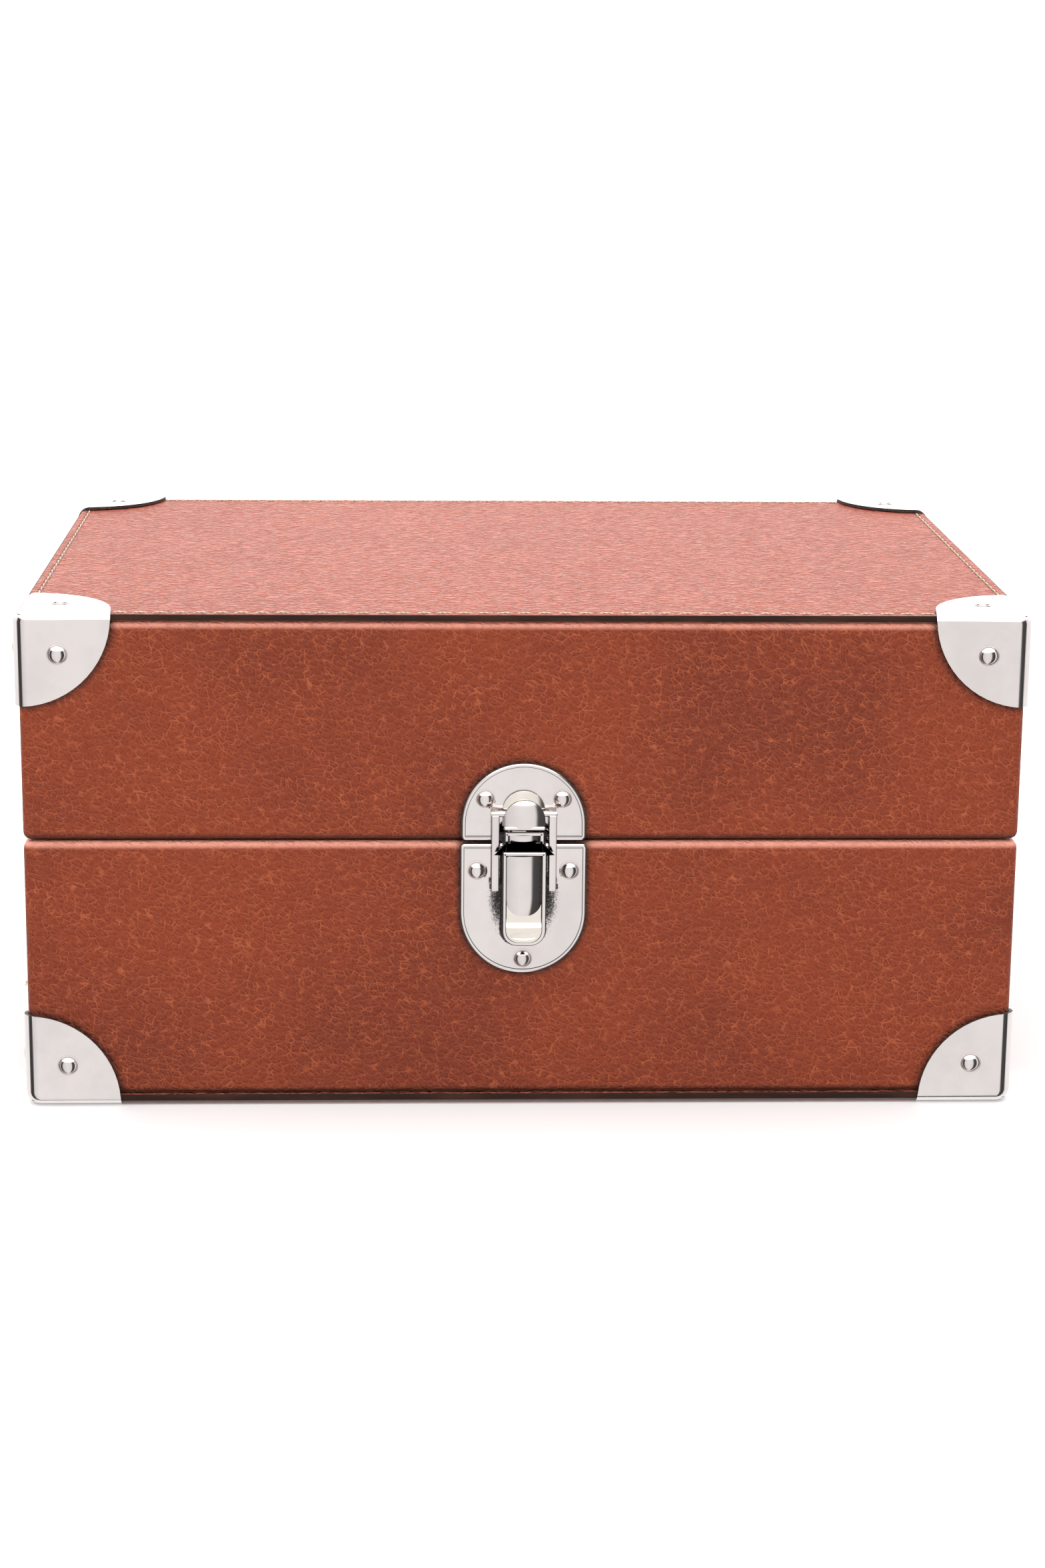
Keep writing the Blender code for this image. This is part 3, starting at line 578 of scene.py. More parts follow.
def points(geometry):
    """The vertices among what an operator returned."""
    return [item for item in geometry if isinstance(item, bmesh.types.BMVert)]


def cut_away(bm, point, normal, dist=1e-7):
    """Removes what lies past a plane, and returns what was made along it."""
    return bmesh.ops.bisect_plane(
        bm, geom=bm.verts[:] + bm.edges[:] + bm.faces[:], plane_co=point, plane_no=normal, clear_outer=True, dist=dist
    )["geom_cut"]


def soft_block(bm, low, high, radius, segments):
    """A box with rounded edges."""
    round_off(bm, edges_of(block(bm, low, high)), radius, segments)


def edges_of(faces):
    return {edge for face in faces for edge in face.edges}


def facing(bm, direction, limit=0.9):
    """The faces whose normals point along a direction."""
    bm.normal_update()
    aim = Vector(direction)
    return [face for face in bm.faces if face.normal.dot(aim) > limit]


def along(edge, axis):
    """Whether an edge runs along X, Y or Z."""
    span = edge.verts[1].co - edge.verts[0].co
    return abs(span[axis]) > 0.999 * span.length


def sharp(bm, angle):
    """Edges whose two faces turn away from each other by more than an angle in degrees."""
    bm.normal_update()
    return [
        edge for edge in bm.edges
        if len(edge.link_faces) == 2 and edge.calc_face_angle(0.0) > radians(angle)
    ]


def rod(bm, centre, radius, length_, axis="X", segments=32, edge=0.0):
    """A cylinder along an axis, with its rims rounded."""
    turn = {"X": Euler((0, pi / 2, 0)), "Y": Euler((pi / 2, 0, 0)), "Z": Euler()}[axis].to_matrix().to_4x4()
    made = bmesh.ops.create_cone(
        bm, segments=segments, cap_ends=True, radius1=radius, radius2=radius, depth=length_,
        matrix=Matrix.Translation(centre) @ turn,
    )["verts"]
    if edge:
        rims = [e for e in edges_of({f for v in made for f in v.link_faces if len(f.verts) > 4})]
        round_off(bm, rims, edge, 2)


def dome(bm, centre, outward, radius, height, segments=28):
    """A rivet's head on a thin collar, made by turning its profile about the outward direction."""
    steps = 7
    profile = [(radius * cos(pi / 2 * i / steps), height * sin(pi / 2 * i / steps)) for i in range(steps)]
    profile = [(radius * 1.24, -0.3 * MM), (radius * 1.24, 0.12 * MM), (radius * 1.08, 0.2 * MM)] + profile
    verts = [bm.verts.new((r, 0.0, h)) for r, h in profile]
    top = bm.verts.new((0.0, 0.0, height))
    verts.append(top)
    edges = [bm.edges.new(pair) for pair in zip(verts, verts[1:])]
    known = set(bm.verts) - set(verts)
    bmesh.ops.spin(
        bm, geom=verts + edges, cent=(0, 0, 0), axis=(0, 0, 1), angle=2 * pi, steps=segments, use_merge=True
    )
    made = [vert for vert in bm.verts if vert not in known]
    bmesh.ops.remove_doubles(bm, verts=made, dist=1e-7)
    made = [vert for vert in bm.verts if vert not in known]
    foot = [edge for edge in bm.edges if edge.is_boundary and edge.verts[0] in made]
    bmesh.ops.edgeloop_fill(bm, edges=foot)
    turn = UPWARD.rotation_difference(Vector(outward)).to_matrix().to_4x4()
    bmesh.ops.transform(bm, matrix=Matrix.Translation(centre) @ turn, verts=made)


def arched_face(bm, width, low, high, corner=0.0, segments=48):
    """A flat face in XZ facing the front: square at its foot (z = low) and a half circle at its top."""
    half = width / 2
    bmesh.ops.create_circle(
        bm, cap_ends=True, radius=half, segments=segments,
        matrix=Matrix.Translation((0, 0, high - half)) @ Matrix.Rotation(pi / 2, 4, "X"),
    )
    cut = cut_away(bm, (0, 0, high - half), (0, 0, -1))
    edge = [item for item in cut if isinstance(item, bmesh.types.BMEdge)]
    grown = bmesh.ops.extrude_edge_only(bm, edges=edge)["geom"]
    moved(bm, (0, 0, low - (high - half)), points(grown))
    bmesh.ops.dissolve_faces(bm, faces=bm.faces[:])
    if corner:
        feet = [vert for vert in bm.verts if abs(vert.co.z - low) < 1e-7]
        bmesh.ops.bevel(
            bm, geom=feet, offset=corner, segments=4, profile=0.5, affect="VERTICES", material=-1
        )
    turn_to_front(bm)
    return bm.faces[:]


def turn_to_front(bm):
    bm.normal_update()
    bmesh.ops.reverse_faces(bm, faces=[face for face in bm.faces if face.normal.y > 0])


def steps_in(bm, faces, rings):
    """Insets a flat region again and again. Each ring is (how far in, how far out, which material)."""
    for thickness, depth, paint in rings:
        made = bmesh.ops.inset_region(
            bm, faces=faces, thickness=thickness, depth=depth, use_boundary=True, use_even_offset=True
        )
        for face in made["faces"]:
            face.material_index = paint


def darken_walls(bm):
    """Gives the second material, dark metal as painted shade, to what faces sideways."""
    bm.normal_update()
    for face in bm.faces:
        if abs(face.normal.y) < 0.4:
            face.material_index = 1


def upright_sheet(bm, half, foot, top, out, grid=(1, 1)):
    """A flat sheet in the clasp that faces the front, its sizes in millimetres."""
    bmesh.ops.create_grid(bm, x_segments=grid[0], y_segments=grid[1], size=0.5)
    bmesh.ops.scale(bm, vec=(2 * half * MM, (top - foot) * MM, 1.0), verts=bm.verts)
    bmesh.ops.rotate(bm, verts=bm.verts, cent=(0, 0, 0), matrix=Matrix.Rotation(pi / 2, 3, "X"))
    moved(bm, in_clasp(0, out, (top + foot) / 2))


def crowned_plate(bm, half, foot, top, foot_radius, top_radius, rise, grid=(44, 60)):
    """A plate in the clasp whose front stands out by rise(across, up), all in millimetres; its ends are round."""
    upright_sheet(bm, half, foot, top, 0.0, grid)
    cuts = 12
    for side in (-1, 1):
        for end, level, radius in ((-1, foot, foot_radius), (1, top, top_radius)):
            centre = in_clasp(side * (half - radius), 0, level - end * radius)
            for i in range(1, cuts if radius else 0):
                turn = pi / 2 * i / cuts
                normal = Vector((side * sin(turn), 0, end * cos(turn)))
                cut_away(bm, centre + normal * radius * MM, normal)
    for vert in bm.verts:
        vert.co.y = FRONT_Y - rise(vert.co.x / MM, (vert.co.z - SEAM_Z) / MM) * MM
    turn_to_front(bm)


def barrel(radius, distance):
    """How far a round surface has fallen away at a distance from its highest line."""
    return radius - (radius ** 2 - distance ** 2) ** 0.5


def give_back(bm, depth):
    """Closes an open front into a solid, straight back along +Y."""
    rim = [edge for edge in bm.edges if edge.is_boundary]
    made = bmesh.ops.extrude_edge_only(bm, edges=rim)["geom"]
    back = points(made)
    level = max(vert.co.y for vert in back) + depth
    for vert in back:
        vert.co.y = level
    bmesh.ops.edgeloop_fill(bm, edges=[edge for edge in bm.edges if edge.is_boundary])
    bmesh.ops.recalc_face_normals(bm, faces=bm.faces)


def moved(bm, vec, verts=None):
    bmesh.ops.translate(bm, vec=vec, verts=verts or bm.verts)


def mesh_from(bm, name):
    mesh = bpy.data.meshes.new(name)
    bm.to_mesh(mesh)
    bm.free()
    return mesh


def linked(name, data):
    """A new object of the scene."""
    obj = bpy.data.objects.new(name, data)
    bpy.context.scene.collection.objects.link(obj)
    return obj


def new_piece(name, bm, body, material, replaces=(), angle=35.0, tidy=True, second=None):
    """Makes the object of a finished mesh, ties it to its body and hides the CAD nodes it replaces.

    material and second name finishes: the second is for the faces that were given material index 1.
    """
    if tidy:
        bmesh.ops.recalc_face_normals(bm, faces=bm.faces)
    mesh = mesh_from(bm, name)
    mesh.shade_smooth()
    mesh.set_sharp_from_angle(angle=radians(angle))
    for paint in (material, second):
        if paint:
            mesh.materials.append(finish(paint))
    obj = linked(name, mesh)
    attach(obj, body)
    if replaces:
        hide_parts(*replaces)
    return obj


def add_modifier(obj, kind, **settings):
    modifier = obj.modifiers.new(kind.title(), kind)
    for name, value in settings.items():
        setattr(modifier, name, value)
    return modifier


def ease_edges(obj, width, segments, angle):
    """Bevels the edges that turn by more than an angle in degrees."""
    add_modifier(obj, "BEVEL", width=width, segments=segments, limit_method="ANGLE", angle_limit=radians(angle))


def soften_normals(obj):
    add_modifier(obj, "WEIGHTED_NORMAL", keep_sharp=True, weight=60)


def repaint(material, *names):
    """Gives carried-over CAD nodes a better finish."""
    for name in names:
        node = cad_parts[name]
        node.data.materials.clear()
        node.data.materials.append(finish(material))


# ---------------------------------------------------------------- leather


def wrap(name, box, rim, body, material, replaces):
    """Leather over the walls, turned over the rim and a little way down inside. rim is 1 up or -1 down."""
    s = sizes()
    bm = bmesh.new()
    low, high = box
    block(bm, low, high)
    end = facing(bm, (0, 0, rim))
    bmesh.ops.inset_region(bm, faces=end, thickness=WRAP_WALL, use_even_offset=True)
    inner = bmesh.ops.extrude_face_region(bm, geom=end)["geom"]
    moved(bm, (0, 0, -rim * s.wrap_turn), points(inner))
    bmesh.ops.delete(bm, geom=end, context="FACES_ONLY")
    inside = [item for item in inner if isinstance(item, bmesh.types.BMFace)]
    bmesh.ops.delete(bm, geom=inside, context="FACES_ONLY")
    level = high.z if rim > 0 else low.z
    foot = low.z if rim > 0 else high.z
    corners = [
        edge for edge in bm.edges
        if len(edge.link_faces) == 2 and all(abs(abs(v.co.x) - HALF_W) < 1e-6 for v in edge.verts)
        and all(abs(abs(v.co.y - MID_Y) - HALF_D) < 1e-6 for v in edge.verts)
    ]
    rim_edges = [
        edge for edge in bm.edges
        if all(abs(v.co.z - level) < 1e-6 for v in edge.verts)
        and all(abs(abs(v.co.x) - HALF_W) < 1e-6 or abs(abs(v.co.y - MID_Y) - HALF_D) < 1e-6 for v in edge.verts)
        and edge.is_manifold and (along(edge, 0) or along(edge, 1))
    ]
    foot_edges = [edge for edge in bm.edges if all(abs(v.co.z - foot) < 1e-6 for v in edge.verts)]
    round_off(bm, set(corners + rim_edges + foot_edges), s.wrap_edge, 5)
    flat = [face for face in facing(bm, (0, 0, -rim), 0.99) if abs(face.calc_center_median().z - foot) < 1e-5]
    bmesh.ops.delete(bm, geom=flat, context="FACES")
    obj = new_piece(name, bm, body, material, replaces, 40, tidy=False)
    add_modifier(obj, "SOLIDIFY", thickness=LEATHER_SKIN, offset=-1.0)
    soften_normals(obj)
    return obj


def panel(name, node, level, body):
    """A leather plate and the painted bead round its edge. level is 1 for the top and -1 for the bottom."""
    s = sizes()
    low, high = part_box(node)
    bead = s.panel_bead
    bm = bmesh.new()
    inset = Vector((bead * 0.8, bead * 0.8, 0.0))
    block(bm, low + inset, high - inset)
    round_off(bm, [edge for edge in bm.edges if along(edge, 2)], 1.8 * MM, 4)
    outer = [edge for edge in edges_of(facing(bm, (0, 0, level)))]
    round_off(bm, outer, 0.15 * MM, 2)
    plate = new_piece(name, bm, body, "stitched_leather", (node,), 40)
    soften_normals(plate)
    bm = bmesh.new()
    block(bm, low + Vector((0, 0, 0.05 * MM)), high - Vector((0, 0, 0.05 * MM)))
    round_off(bm, [edge for edge in bm.edges if along(edge, 2)], 2.0 * MM, 5)
    ends = facing(bm, (0, 0, 1)) + facing(bm, (0, 0, -1))
    for face in ends:
        bmesh.ops.inset_region(bm, faces=[face], thickness=bead, use_even_offset=True)
    holes = [edge for face in ends for edge in face.edges]
    bmesh.ops.delete(bm, geom=ends, context="FACES_ONLY")
    bmesh.ops.bridge_loops(bm, edges=holes)
    rims = [edge for edge in sharp(bm, 60) if max(abs(v.co.x) for v in edge.verts) > HALF_W - 0.5 * bead
            or max(abs(v.co.y - MID_Y) for v in edge.verts) > HALF_D - 0.5 * bead]
    round_off(bm, rims, 0.5 * bead, 3)
    new_piece(f"{name}_edge", bm, body, "edge_paint", (), 50)


def stitch_line(bm, start, end, outward):
    """Stitches along a line, each a short bow of thread that dips into its holes."""
    s = sizes()
    run = (end - start).length
    count = int(run // s.stitch_pitch)
    heading = (end - start).normalized()
    spare = (run - count * s.stitch_pitch) / 2
    side = outward.cross(heading)
    basis = Matrix((heading, side, outward)).transposed().to_4x4()
    half, thick = s.stitch_length / 2, s.thread / 2
    for i in range(count):
        centre = start + heading * (spare + (i + 0.5) * s.stitch_pitch)
        made = bmesh.ops.create_uvsphere(bm, u_segments=8, v_segments=6, radius=1.0)["verts"]
        bmesh.ops.rotate(bm, verts=made, cent=(0, 0, 0), matrix=Matrix.Rotation(pi / 2, 3, "Y"))
        bmesh.ops.scale(bm, vec=(half, thick, thick), verts=made)
        for vert in made:
            vert.co.z += 0.30 * MM * (1 - (vert.co.x / half) ** 2) - 0.16 * MM
            vert.co.y += 0.12 * MM * vert.co.x / half
        bmesh.ops.transform(bm, matrix=Matrix.Translation(centre) @ basis, verts=made)


def stitching(name, panel_box, level, body):
    """A run of stitches along each side of a panel, between its corner protectors."""
    s = sizes()
    bm = bmesh.new()
    z = panel_box[1].z if level > 0 else panel_box[0].z
    x, y = HALF_W - s.stitch_inset, HALF_D - s.stitch_inset
    clear = s.protector_radius - 1.5 * MM
    outward = Vector((0, 0, level))
    for sign in (-1, 1):
        start = Vector((-HALF_W + clear, MID_Y + sign * y, z))
        stitch_line(bm, start, start + Vector((2 * (HALF_W - clear), 0, 0)), outward)
        start = Vector((sign * x, MID_Y - HALF_D + clear, z))
        stitch_line(bm, start, start + Vector((0, 2 * (HALF_D - clear), 0)), outward)
    new_piece(name, bm, body, "waxed_thread", (), 60)


def thread_end():
    """A loose end of thread at the base's left front edge."""
    bm = bmesh.new()
    spot = Vector((-HALF_W - 0.15 * MM, FRONT_Y + 0.6 * MM, SEAM_Z - 43.0 * MM))
    rod(bm, spot, 0.3 * MM, 1.6 * MM, "Z", 10, 0.12 * MM)
    bmesh.ops.rotate(bm, verts=bm.verts, cent=spot, matrix=Matrix.Rotation(radians(14), 3, "Y"))
    new_piece("thread_end", bm, "base", "waxed_thread", (), 60)


# ---------------------------------------------------------------- corner protectors


def corner_protector(name, signs, body, node):
    """Sheet metal over a corner: rolled edges, and a quarter circle on each of its three faces."""
    s = sizes()
    level = TOP_PANEL[1].z if signs[2] > 0 else BOTTOM_PANEL[0].z
    corner = Vector((signs[0] * HALF_W, MID_Y + signs[1] * HALF_D, level))
    reach = s.protector_radius + 3.0 * MM
    bm = bmesh.new()
    block(bm, Vector((-reach,) * 3), Vector((PROTECTOR_OUT,) * 3))
    outer = [e for e in bm.edges if sum(min(v.co[k] for v in e.verts) > 0 for k in range(3)) == 2]
    round_off(bm, outer, s.protector_roll, 8)
    far = [face for k in range(3) for face in facing(bm, -Vector([k == i for i in range(3)]))]
    bmesh.ops.delete(bm, geom=far, context="FACES")
    steps = 16
    for first, second in ((0, 1), (1, 2), (0, 2)):
        for i in range(steps + 1):
            turn = pi / 2 * i / steps
            normal = Vector((0.0, 0.0, 0.0))
            normal[first], normal[second] = -cos(turn), -sin(turn)
            cut_away(bm, normal * s.protector_radius, normal, 1e-6)
    bmesh.ops.scale(bm, vec=signs, verts=bm.verts)
    moved(bm, corner)
    if signs[0] * signs[1] * signs[2] < 0:
        bmesh.ops.reverse_faces(bm, faces=bm.faces)
    obj = new_piece(
        name, bm, body, "polished_nickel", (node,), 35, tidy=False,
        second="grime",
    )
    # The sheet's cut edge gets the dark metal: grime and painted shade
    add_modifier(
        obj, "SOLIDIFY", thickness=s.protector_metal, offset=-1.0, use_even_offset=True, material_offset_rim=1
    )
    ease_edges(obj, 0.25 * MM, 3, 50)
    soften_normals(obj)
    bm = bmesh.new()
    for axis in range(3):
        if axis == 2 and signs[2] < 0:
            continue
        centre = corner - Vector(signs) * s.rivet_inset
        centre[axis] = corner[axis] + signs[axis] * PROTECTOR_OUT
        outward = Vector((0.0, 0.0, 0.0))
        outward[axis] = signs[axis]
        dome(bm, centre, outward, s.corner_rivet, s.rivet_height * 1.08)
    new_piece(f"{name}_rivets", bm, body, "polished_nickel", (), 30)


# ---------------------------------------------------------------- clasp


def clasp_plate(name, box, up, body):
    """A backplate with a raised rim, a dark groove inside it and a round end; the outline, groove and walls are dark
    as painted shade. up is 1 for the lid's plate.
    """
    s = sizes()
    low, high = box
    bm = bmesh.new()
    faces = arched_face(bm, high.x - low.x, 0.0, high.z - low.z, 1.3 * MM, 96)
    steps_in(bm, faces, (
        (s.groove, 0.12 * MM, 1), (0.3 * s.plate_rim, 0.14 * MM, 0), (0.6 * s.plate_rim, 0.0, 0),
        (0.5 * s.groove, -0.2 * MM, 1), (0.6 * s.groove, 0.0, 1), (0.25 * MM, 0.06 * MM, 0),
    ))
    give_back(bm, high.y - low.y)
    moved(bm, (0, low.y - min(v.co.y for v in bm.verts), 0))
    darken_walls(bm)
    if up < 0:
        bmesh.ops.scale(bm, vec=(1, 1, -1), verts=bm.verts)
        moved(bm, (0, 0, high.z))
    else:
        moved(bm, (0, 0, low.z))
    cad_node = name.removesuffix("_finished")
    obj = new_piece(name, bm, body, "tarnished_nickel", (cad_node,), 25, second="grime")
    soften_normals(obj)


def crowned_piece(name, body, shape, depth, replaces=(), material="polished_nickel"):
    """One of the clasp's crowned plates as a piece, with walls dark as painted shade. shape is what crowned_plate
    takes.
    """
    bm = bmesh.new()
    crowned_plate(bm, *shape)
    give_back(bm, depth)
    darken_walls(bm)
    obj = new_piece(name, bm, body, material, replaces, 40, second="grime")
    ease_edges(obj, 0.2 * MM, 3, 45)
    return obj


def framed_block(bm, half, foot, top, foot_radius, out, depth):
    """A flat piece of the clasp with a raised bright rim and a dark sunk floor for a crowned plate; the floor,
    outline and walls are dark as painted shade.
    """
    upright_sheet(bm, half, foot, top, out - RIM_RISE)
    low = [vert for vert in bm.verts if vert.co.z < SEAM_Z + (top + foot) / 2 * MM]
    high = [vert for vert in bm.verts if vert not in low]
    for corners, radius in ((low, foot_radius), (high, 0.6)):
        bmesh.ops.bevel(
            bm, geom=corners, offset=radius * MM, segments=10, profile=0.5, affect="VERTICES", material=-1
        )
    turn_to_front(bm)
    floor_faces = bm.faces[:]
    steps_in(bm, floor_faces, (
        (0.22 * MM, 0.2 * MM, 1), (0.18 * MM, 0.15 * MM, 0), (0.62 * MM, 0.0, 0), (0.12 * MM, -1.1 * MM, 1),
    ))
    for face in floor_faces:
        face.material_index = 1
    give_back(bm, (depth - RIM_RISE) * MM)
    darken_walls(bm)
    # Walls that face up keep the polish, because the painted shade goes only where light does not fall
    for face in facing(bm, UPWARD):
        face.material_index = 0


def hook(name):
    """The lid's catch: an arched boss on the plate, and a shield that stands off it and hides the crossbar."""
    crowned_piece(name, "lid", (*HOOK_BOSS, boss_rise), 1.3 * MM, ("clasp_hook",), "brassy_nickel")
    crowned_piece(f"{name}_shield", "lid", (*HOOK_SHIELD, shield_rise), 0.9 * MM)
    bm = bmesh.new()
    soft_block(bm, in_clasp(-6.0, 9.0, 5.45), in_clasp(6.0, 7.2, 6.5), 0.5 * MM, 5)
    soft_block(bm, in_clasp(-5.2, 7.6, 5.65), in_clasp(5.2, 1.5, 6.35), 0.2 * MM, 2)
    lip = new_piece(f"{name}_lip", bm, "lid", "polished_nickel", (), 35)
    soften_normals(lip)


def boss_rise(across, up):
    """The boss swells out of the plate like the end of a thumb."""
    return 2.9 - barrel(17.0, Vector((across, max(0.0, up - 9.3))).length)


def shield_rise(across, up):
    """The shield is crowned across and falls away round its arched top."""
    return 9.1 - barrel(13.0, Vector((across, max(0.0, up - 8.0))).length)


def bracket(name):
    """The block that carries the lever's pin: a crowned face inside a raised rim, and an eye behind it."""
    bm = bmesh.new()
    framed_block(bm, *BLOCK_FRAME)
    axis = middle_of(LEVER_PIN)
    rod(bm, axis, 1.75 * MM, 10.8 * MM, "X", 32, 0.2 * MM)
    obj = new_piece(name, bm, "base", "polished_nickel", ("clasp_bracket",), second="grime")
    soften_normals(obj)
    crowned_piece(f"{name}_face", "base", (*BLOCK_FACE, face_rise), 0.5 * MM)
    repaint("polished_nickel", "lever_pin")
    # The loop's pin, behind the lever, gets the dark metal as painted shade
    repaint("grime", "bail_pin")


def face_rise(across, up):
    """The block's face is a barrel across."""
    return 6.8 - barrel(9.5, across + 0.3)


def lever(name):
    """The lever: a raised frame, a crowned panel in it, and a toe with a scoop and an oval hollow."""
    bm = bmesh.new()
    framed_block(bm, *LEVER_FRAME)
    obj = new_piece(name, bm, "lever", "polished_nickel", ("clasp_lever",), second="grime")
    soften_normals(obj)
    crowned_piece(f"{name}_crown", "lever", (*LEVER_CROWN, crown_rise), 0.6 * MM)
    crowned_piece(f"{name}_toe", "lever", (*LEVER_TOE, toe_rise), 0.5 * MM, material="brassy_nickel")
    lever_ears(name)


def crown_rise(across, up):
    """The lever's panel is a barrel across, and rolls down at its lower end."""
    past = max(0.0, -14.7 - up)
    return 9.5 - barrel(10.5, across + 0.6) - barrel(16.0, past)


def toe_rise(across, up):
    """Below the panel the lever dips, climbs in a scoop to its lip, and has an oval hollow in the lip."""
    climb = min(max((-21.3 - up) / 3.6, 0.0), 1.0)
    rise = 7.9 + 1.15 * climb ** 2 * (3 - 2 * climb) - 0.012 * across ** 2
    hollow = max(0.0, 1 - (across / 4.0) ** 2 - ((up + 26.3) / 1.05) ** 2)
    return rise - 0.4 * hollow ** 0.5


def lever_ears(name):
    """The two ears behind the lever that its pin and the loop's pin pass through, dark all over as painted shade."""
    bm = bmesh.new()
    axis, foot = middle_of(LEVER_PIN), middle_of(BAIL_PIN)
    for side in (-1, 1):
        low = Vector((side * 5.75 * MM, axis.y - 2.4 * MM, foot.z - 2.0 * MM))
        high = Vector((side * 6.3 * MM, axis.y + 1.9 * MM, axis.z))
        nearer, farther = ([pick(pair) for pair in zip(low, high)] for pick in (min, max))
        soft_block(bm, nearer, farther, 0.2 * MM, 2)
        rod(bm, Vector((side * 6.02 * MM, axis.y, axis.z)), 1.5 * MM, 0.55 * MM, "X", 28, 0.12 * MM)
    new_piece(f"{name}_ears", bm, "lever", "grime", (), 35)


def bail(name):
    """The loop: two flat arms on the lower pin, and a round crossbar through their tops."""
    low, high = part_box("clasp_bail")
    pin = middle_of(BAIL_PIN)
    arm, metal, bar = 2.3 * MM, 1.8 * MM, 0.78 * MM
    bar_z = high.z - 1.1 * MM
    bm = bmesh.new()
    for side in (-1, 1):
        outer = side * high.x
        ends = sorted((outer, outer - side * arm))
        foot = Vector((ends[0], pin.y - metal / 2, pin.z - 1.3 * MM))
        head = Vector((ends[1], pin.y + metal / 2, bar_z - 0.3 * MM))
        faces = block(bm, foot, head)
        front = [face for face in facing(bm, (0, -1, 0)) if face in faces]
        steps_in(bm, front, ((0.35 * MM, 0.0, 0), (0.3 * MM, 0.16 * MM, 0)))
        walls = [edge for edge in sharp(bm, 60) if edge.verts[0].co.x * side > 0]
        round_off(bm, walls, 0.28 * MM, 3)
    darken_walls(bm)
    rod(bm, Vector((0.0, pin.y, bar_z)), bar, high.x - low.x + 0.3 * MM, "X", 32, 0.25 * MM)
    new_piece(name, bm, "bail", "polished_nickel", ("clasp_bail",), 40, second="grime")


# ---------------------------------------------------------------- hinges and stay


def hinge_leaf(name, level, body):
    """A hinge leaf with round corners, its knuckles and two domed screw heads."""
    low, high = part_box(name)
    side = name.split("_")[1]
    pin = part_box(f"hinge_{side}_pin")
    axis = middle_of(pin)
    radius = high.y - axis.y
    bm = bmesh.new()
    leaf_low = Vector((low.x, low.y, low.z if level < 0 else axis.z + 0.6 * radius))
    leaf_high = Vector((high.x, low.y + 1.0 * MM, axis.z - 0.6 * radius if level < 0 else high.z))
    faces = block(bm, leaf_low, leaf_high)
    far = [
        edge for edge in edges_of(faces)
        if along(edge, 1) and abs(edge.verts[0].co.z - (low.z if level < 0 else high.z)) < 1e-6
    ]
    round_off(bm, far, 3.0 * MM, 5)
    third = (high.x - low.x) / 3
    middle = (low.x + high.x) / 2
    gap = 0.35 * MM
    spans = ((low.x, middle - third / 2 - gap), (middle + third / 2 + gap, high.x))
    if level > 0:
        spans = ((middle - third / 2, middle + third / 2),)
    for start, end in spans:
        rod(bm, Vector(((start + end) / 2, axis.y, axis.z)), radius, end - start, "X", 40, 0.3 * MM)
        block(
            bm, (start, low.y, min(axis.z, axis.z + level * 2.0 * MM)),
            (end, low.y + 0.95 * MM, max(axis.z, axis.z + level * 2.0 * MM)),
        )
    for side_sign in (-1, 1):
        spot = Vector((middle + side_sign * third, low.y + 1.0 * MM, axis.z + level * 8.6 * MM))
        dome(bm, spot, (0, 1, 0), 1.7 * MM, 0.5 * MM, 24)
    obj = new_piece(f"{name}_finished", bm, body, "polished_nickel", (name,), 35)
    ease_edges(obj, 0.15 * MM, 2, 50)
    soften_normals(obj)


def stay_arm():
    """The lid stay: a flat slotted arm with an eye at its top, its edges rounded."""
    bm = bmesh.new()
    bm.from_mesh(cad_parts["stay_arm"].data)
    bmesh.ops.remove_doubles(bm, verts=bm.verts, dist=1e-6)
    bmesh.ops.dissolve_limit(bm, angle_limit=radians(1), verts=bm.verts, edges=bm.edges)
    obj = new_piece("stay_arm_finished", bm, "stay", "polished_nickel", ("stay_arm",), 30)
    ease_edges(obj, 0.2 * MM, 2, 60)
    soften_normals(obj)
    for node, body in (("stay_pivot", "lid"), ("stay_stud", "base")):
        low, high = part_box(node)
        bm = bmesh.new()
        centre = (low + high) / 2
        rod(bm, Vector(((low.x + high.x) / 2, centre.y, centre.z)), 1.5 * MM, high.x - low.x - 0.4 * MM, "X", 28)
        dome(bm, Vector((low.x + 0.5 * MM, centre.y, centre.z)), (-1, 0, 0), 2.15 * MM, 0.7 * MM, 28)
        new_piece(f"{node}_finished", bm, body, "polished_nickel", (node,), 30)


# ---------------------------------------------------------------- inside


def lining(node, up, body):
    """Suede glued inside a shell, its corners eased. up is 1 where it opens upwards and -1 downwards."""
    low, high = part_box(node)
    bm = bmesh.new()
    inset = Vector((LINING_WALL, LINING_WALL, 0.0))
    floor = Vector((0, 0, LINING_WALL))
    inner = (low + inset + (floor if up > 0 else Vector()), high - inset - (floor if up < 0 else Vector()))
    block(bm, *inner)
    bmesh.ops.delete(bm, geom=facing(bm, (0, 0, up)), context="FACES_ONLY")
    inner_edges = [edge for edge in bm.edges if not edge.is_boundary]
    round_off(bm, inner_edges, 2.5 * MM, 4)
    bmesh.ops.reverse_faces(bm, faces=facing_out(bm, (inner[0] + inner[1]) / 2))
    obj = new_piece(f"{node}_finished", bm, body, "suede", (node,), 40, tidy=False)
    add_modifier(obj, "SOLIDIFY", thickness=LINING_WALL * 0.95, offset=-1.0)
    soften_normals(obj)


def facing_out(bm, centre):
    bm.normal_update()
    return [face for face in bm.faces if face.normal.dot(face.calc_center_median() - centre) > 0]


def covered_box(node, body, edge):
    """A suede-covered board: a box with soft edges where a CAD node stands."""
    low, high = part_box(node)
    bm = bmesh.new()
    block(bm, low, high)
    round_off(bm, bm.edges, edge, 4)
    obj = new_piece(f"{node}_finished", bm, body, "suede", (node,), 50)
    soften_normals(obj)


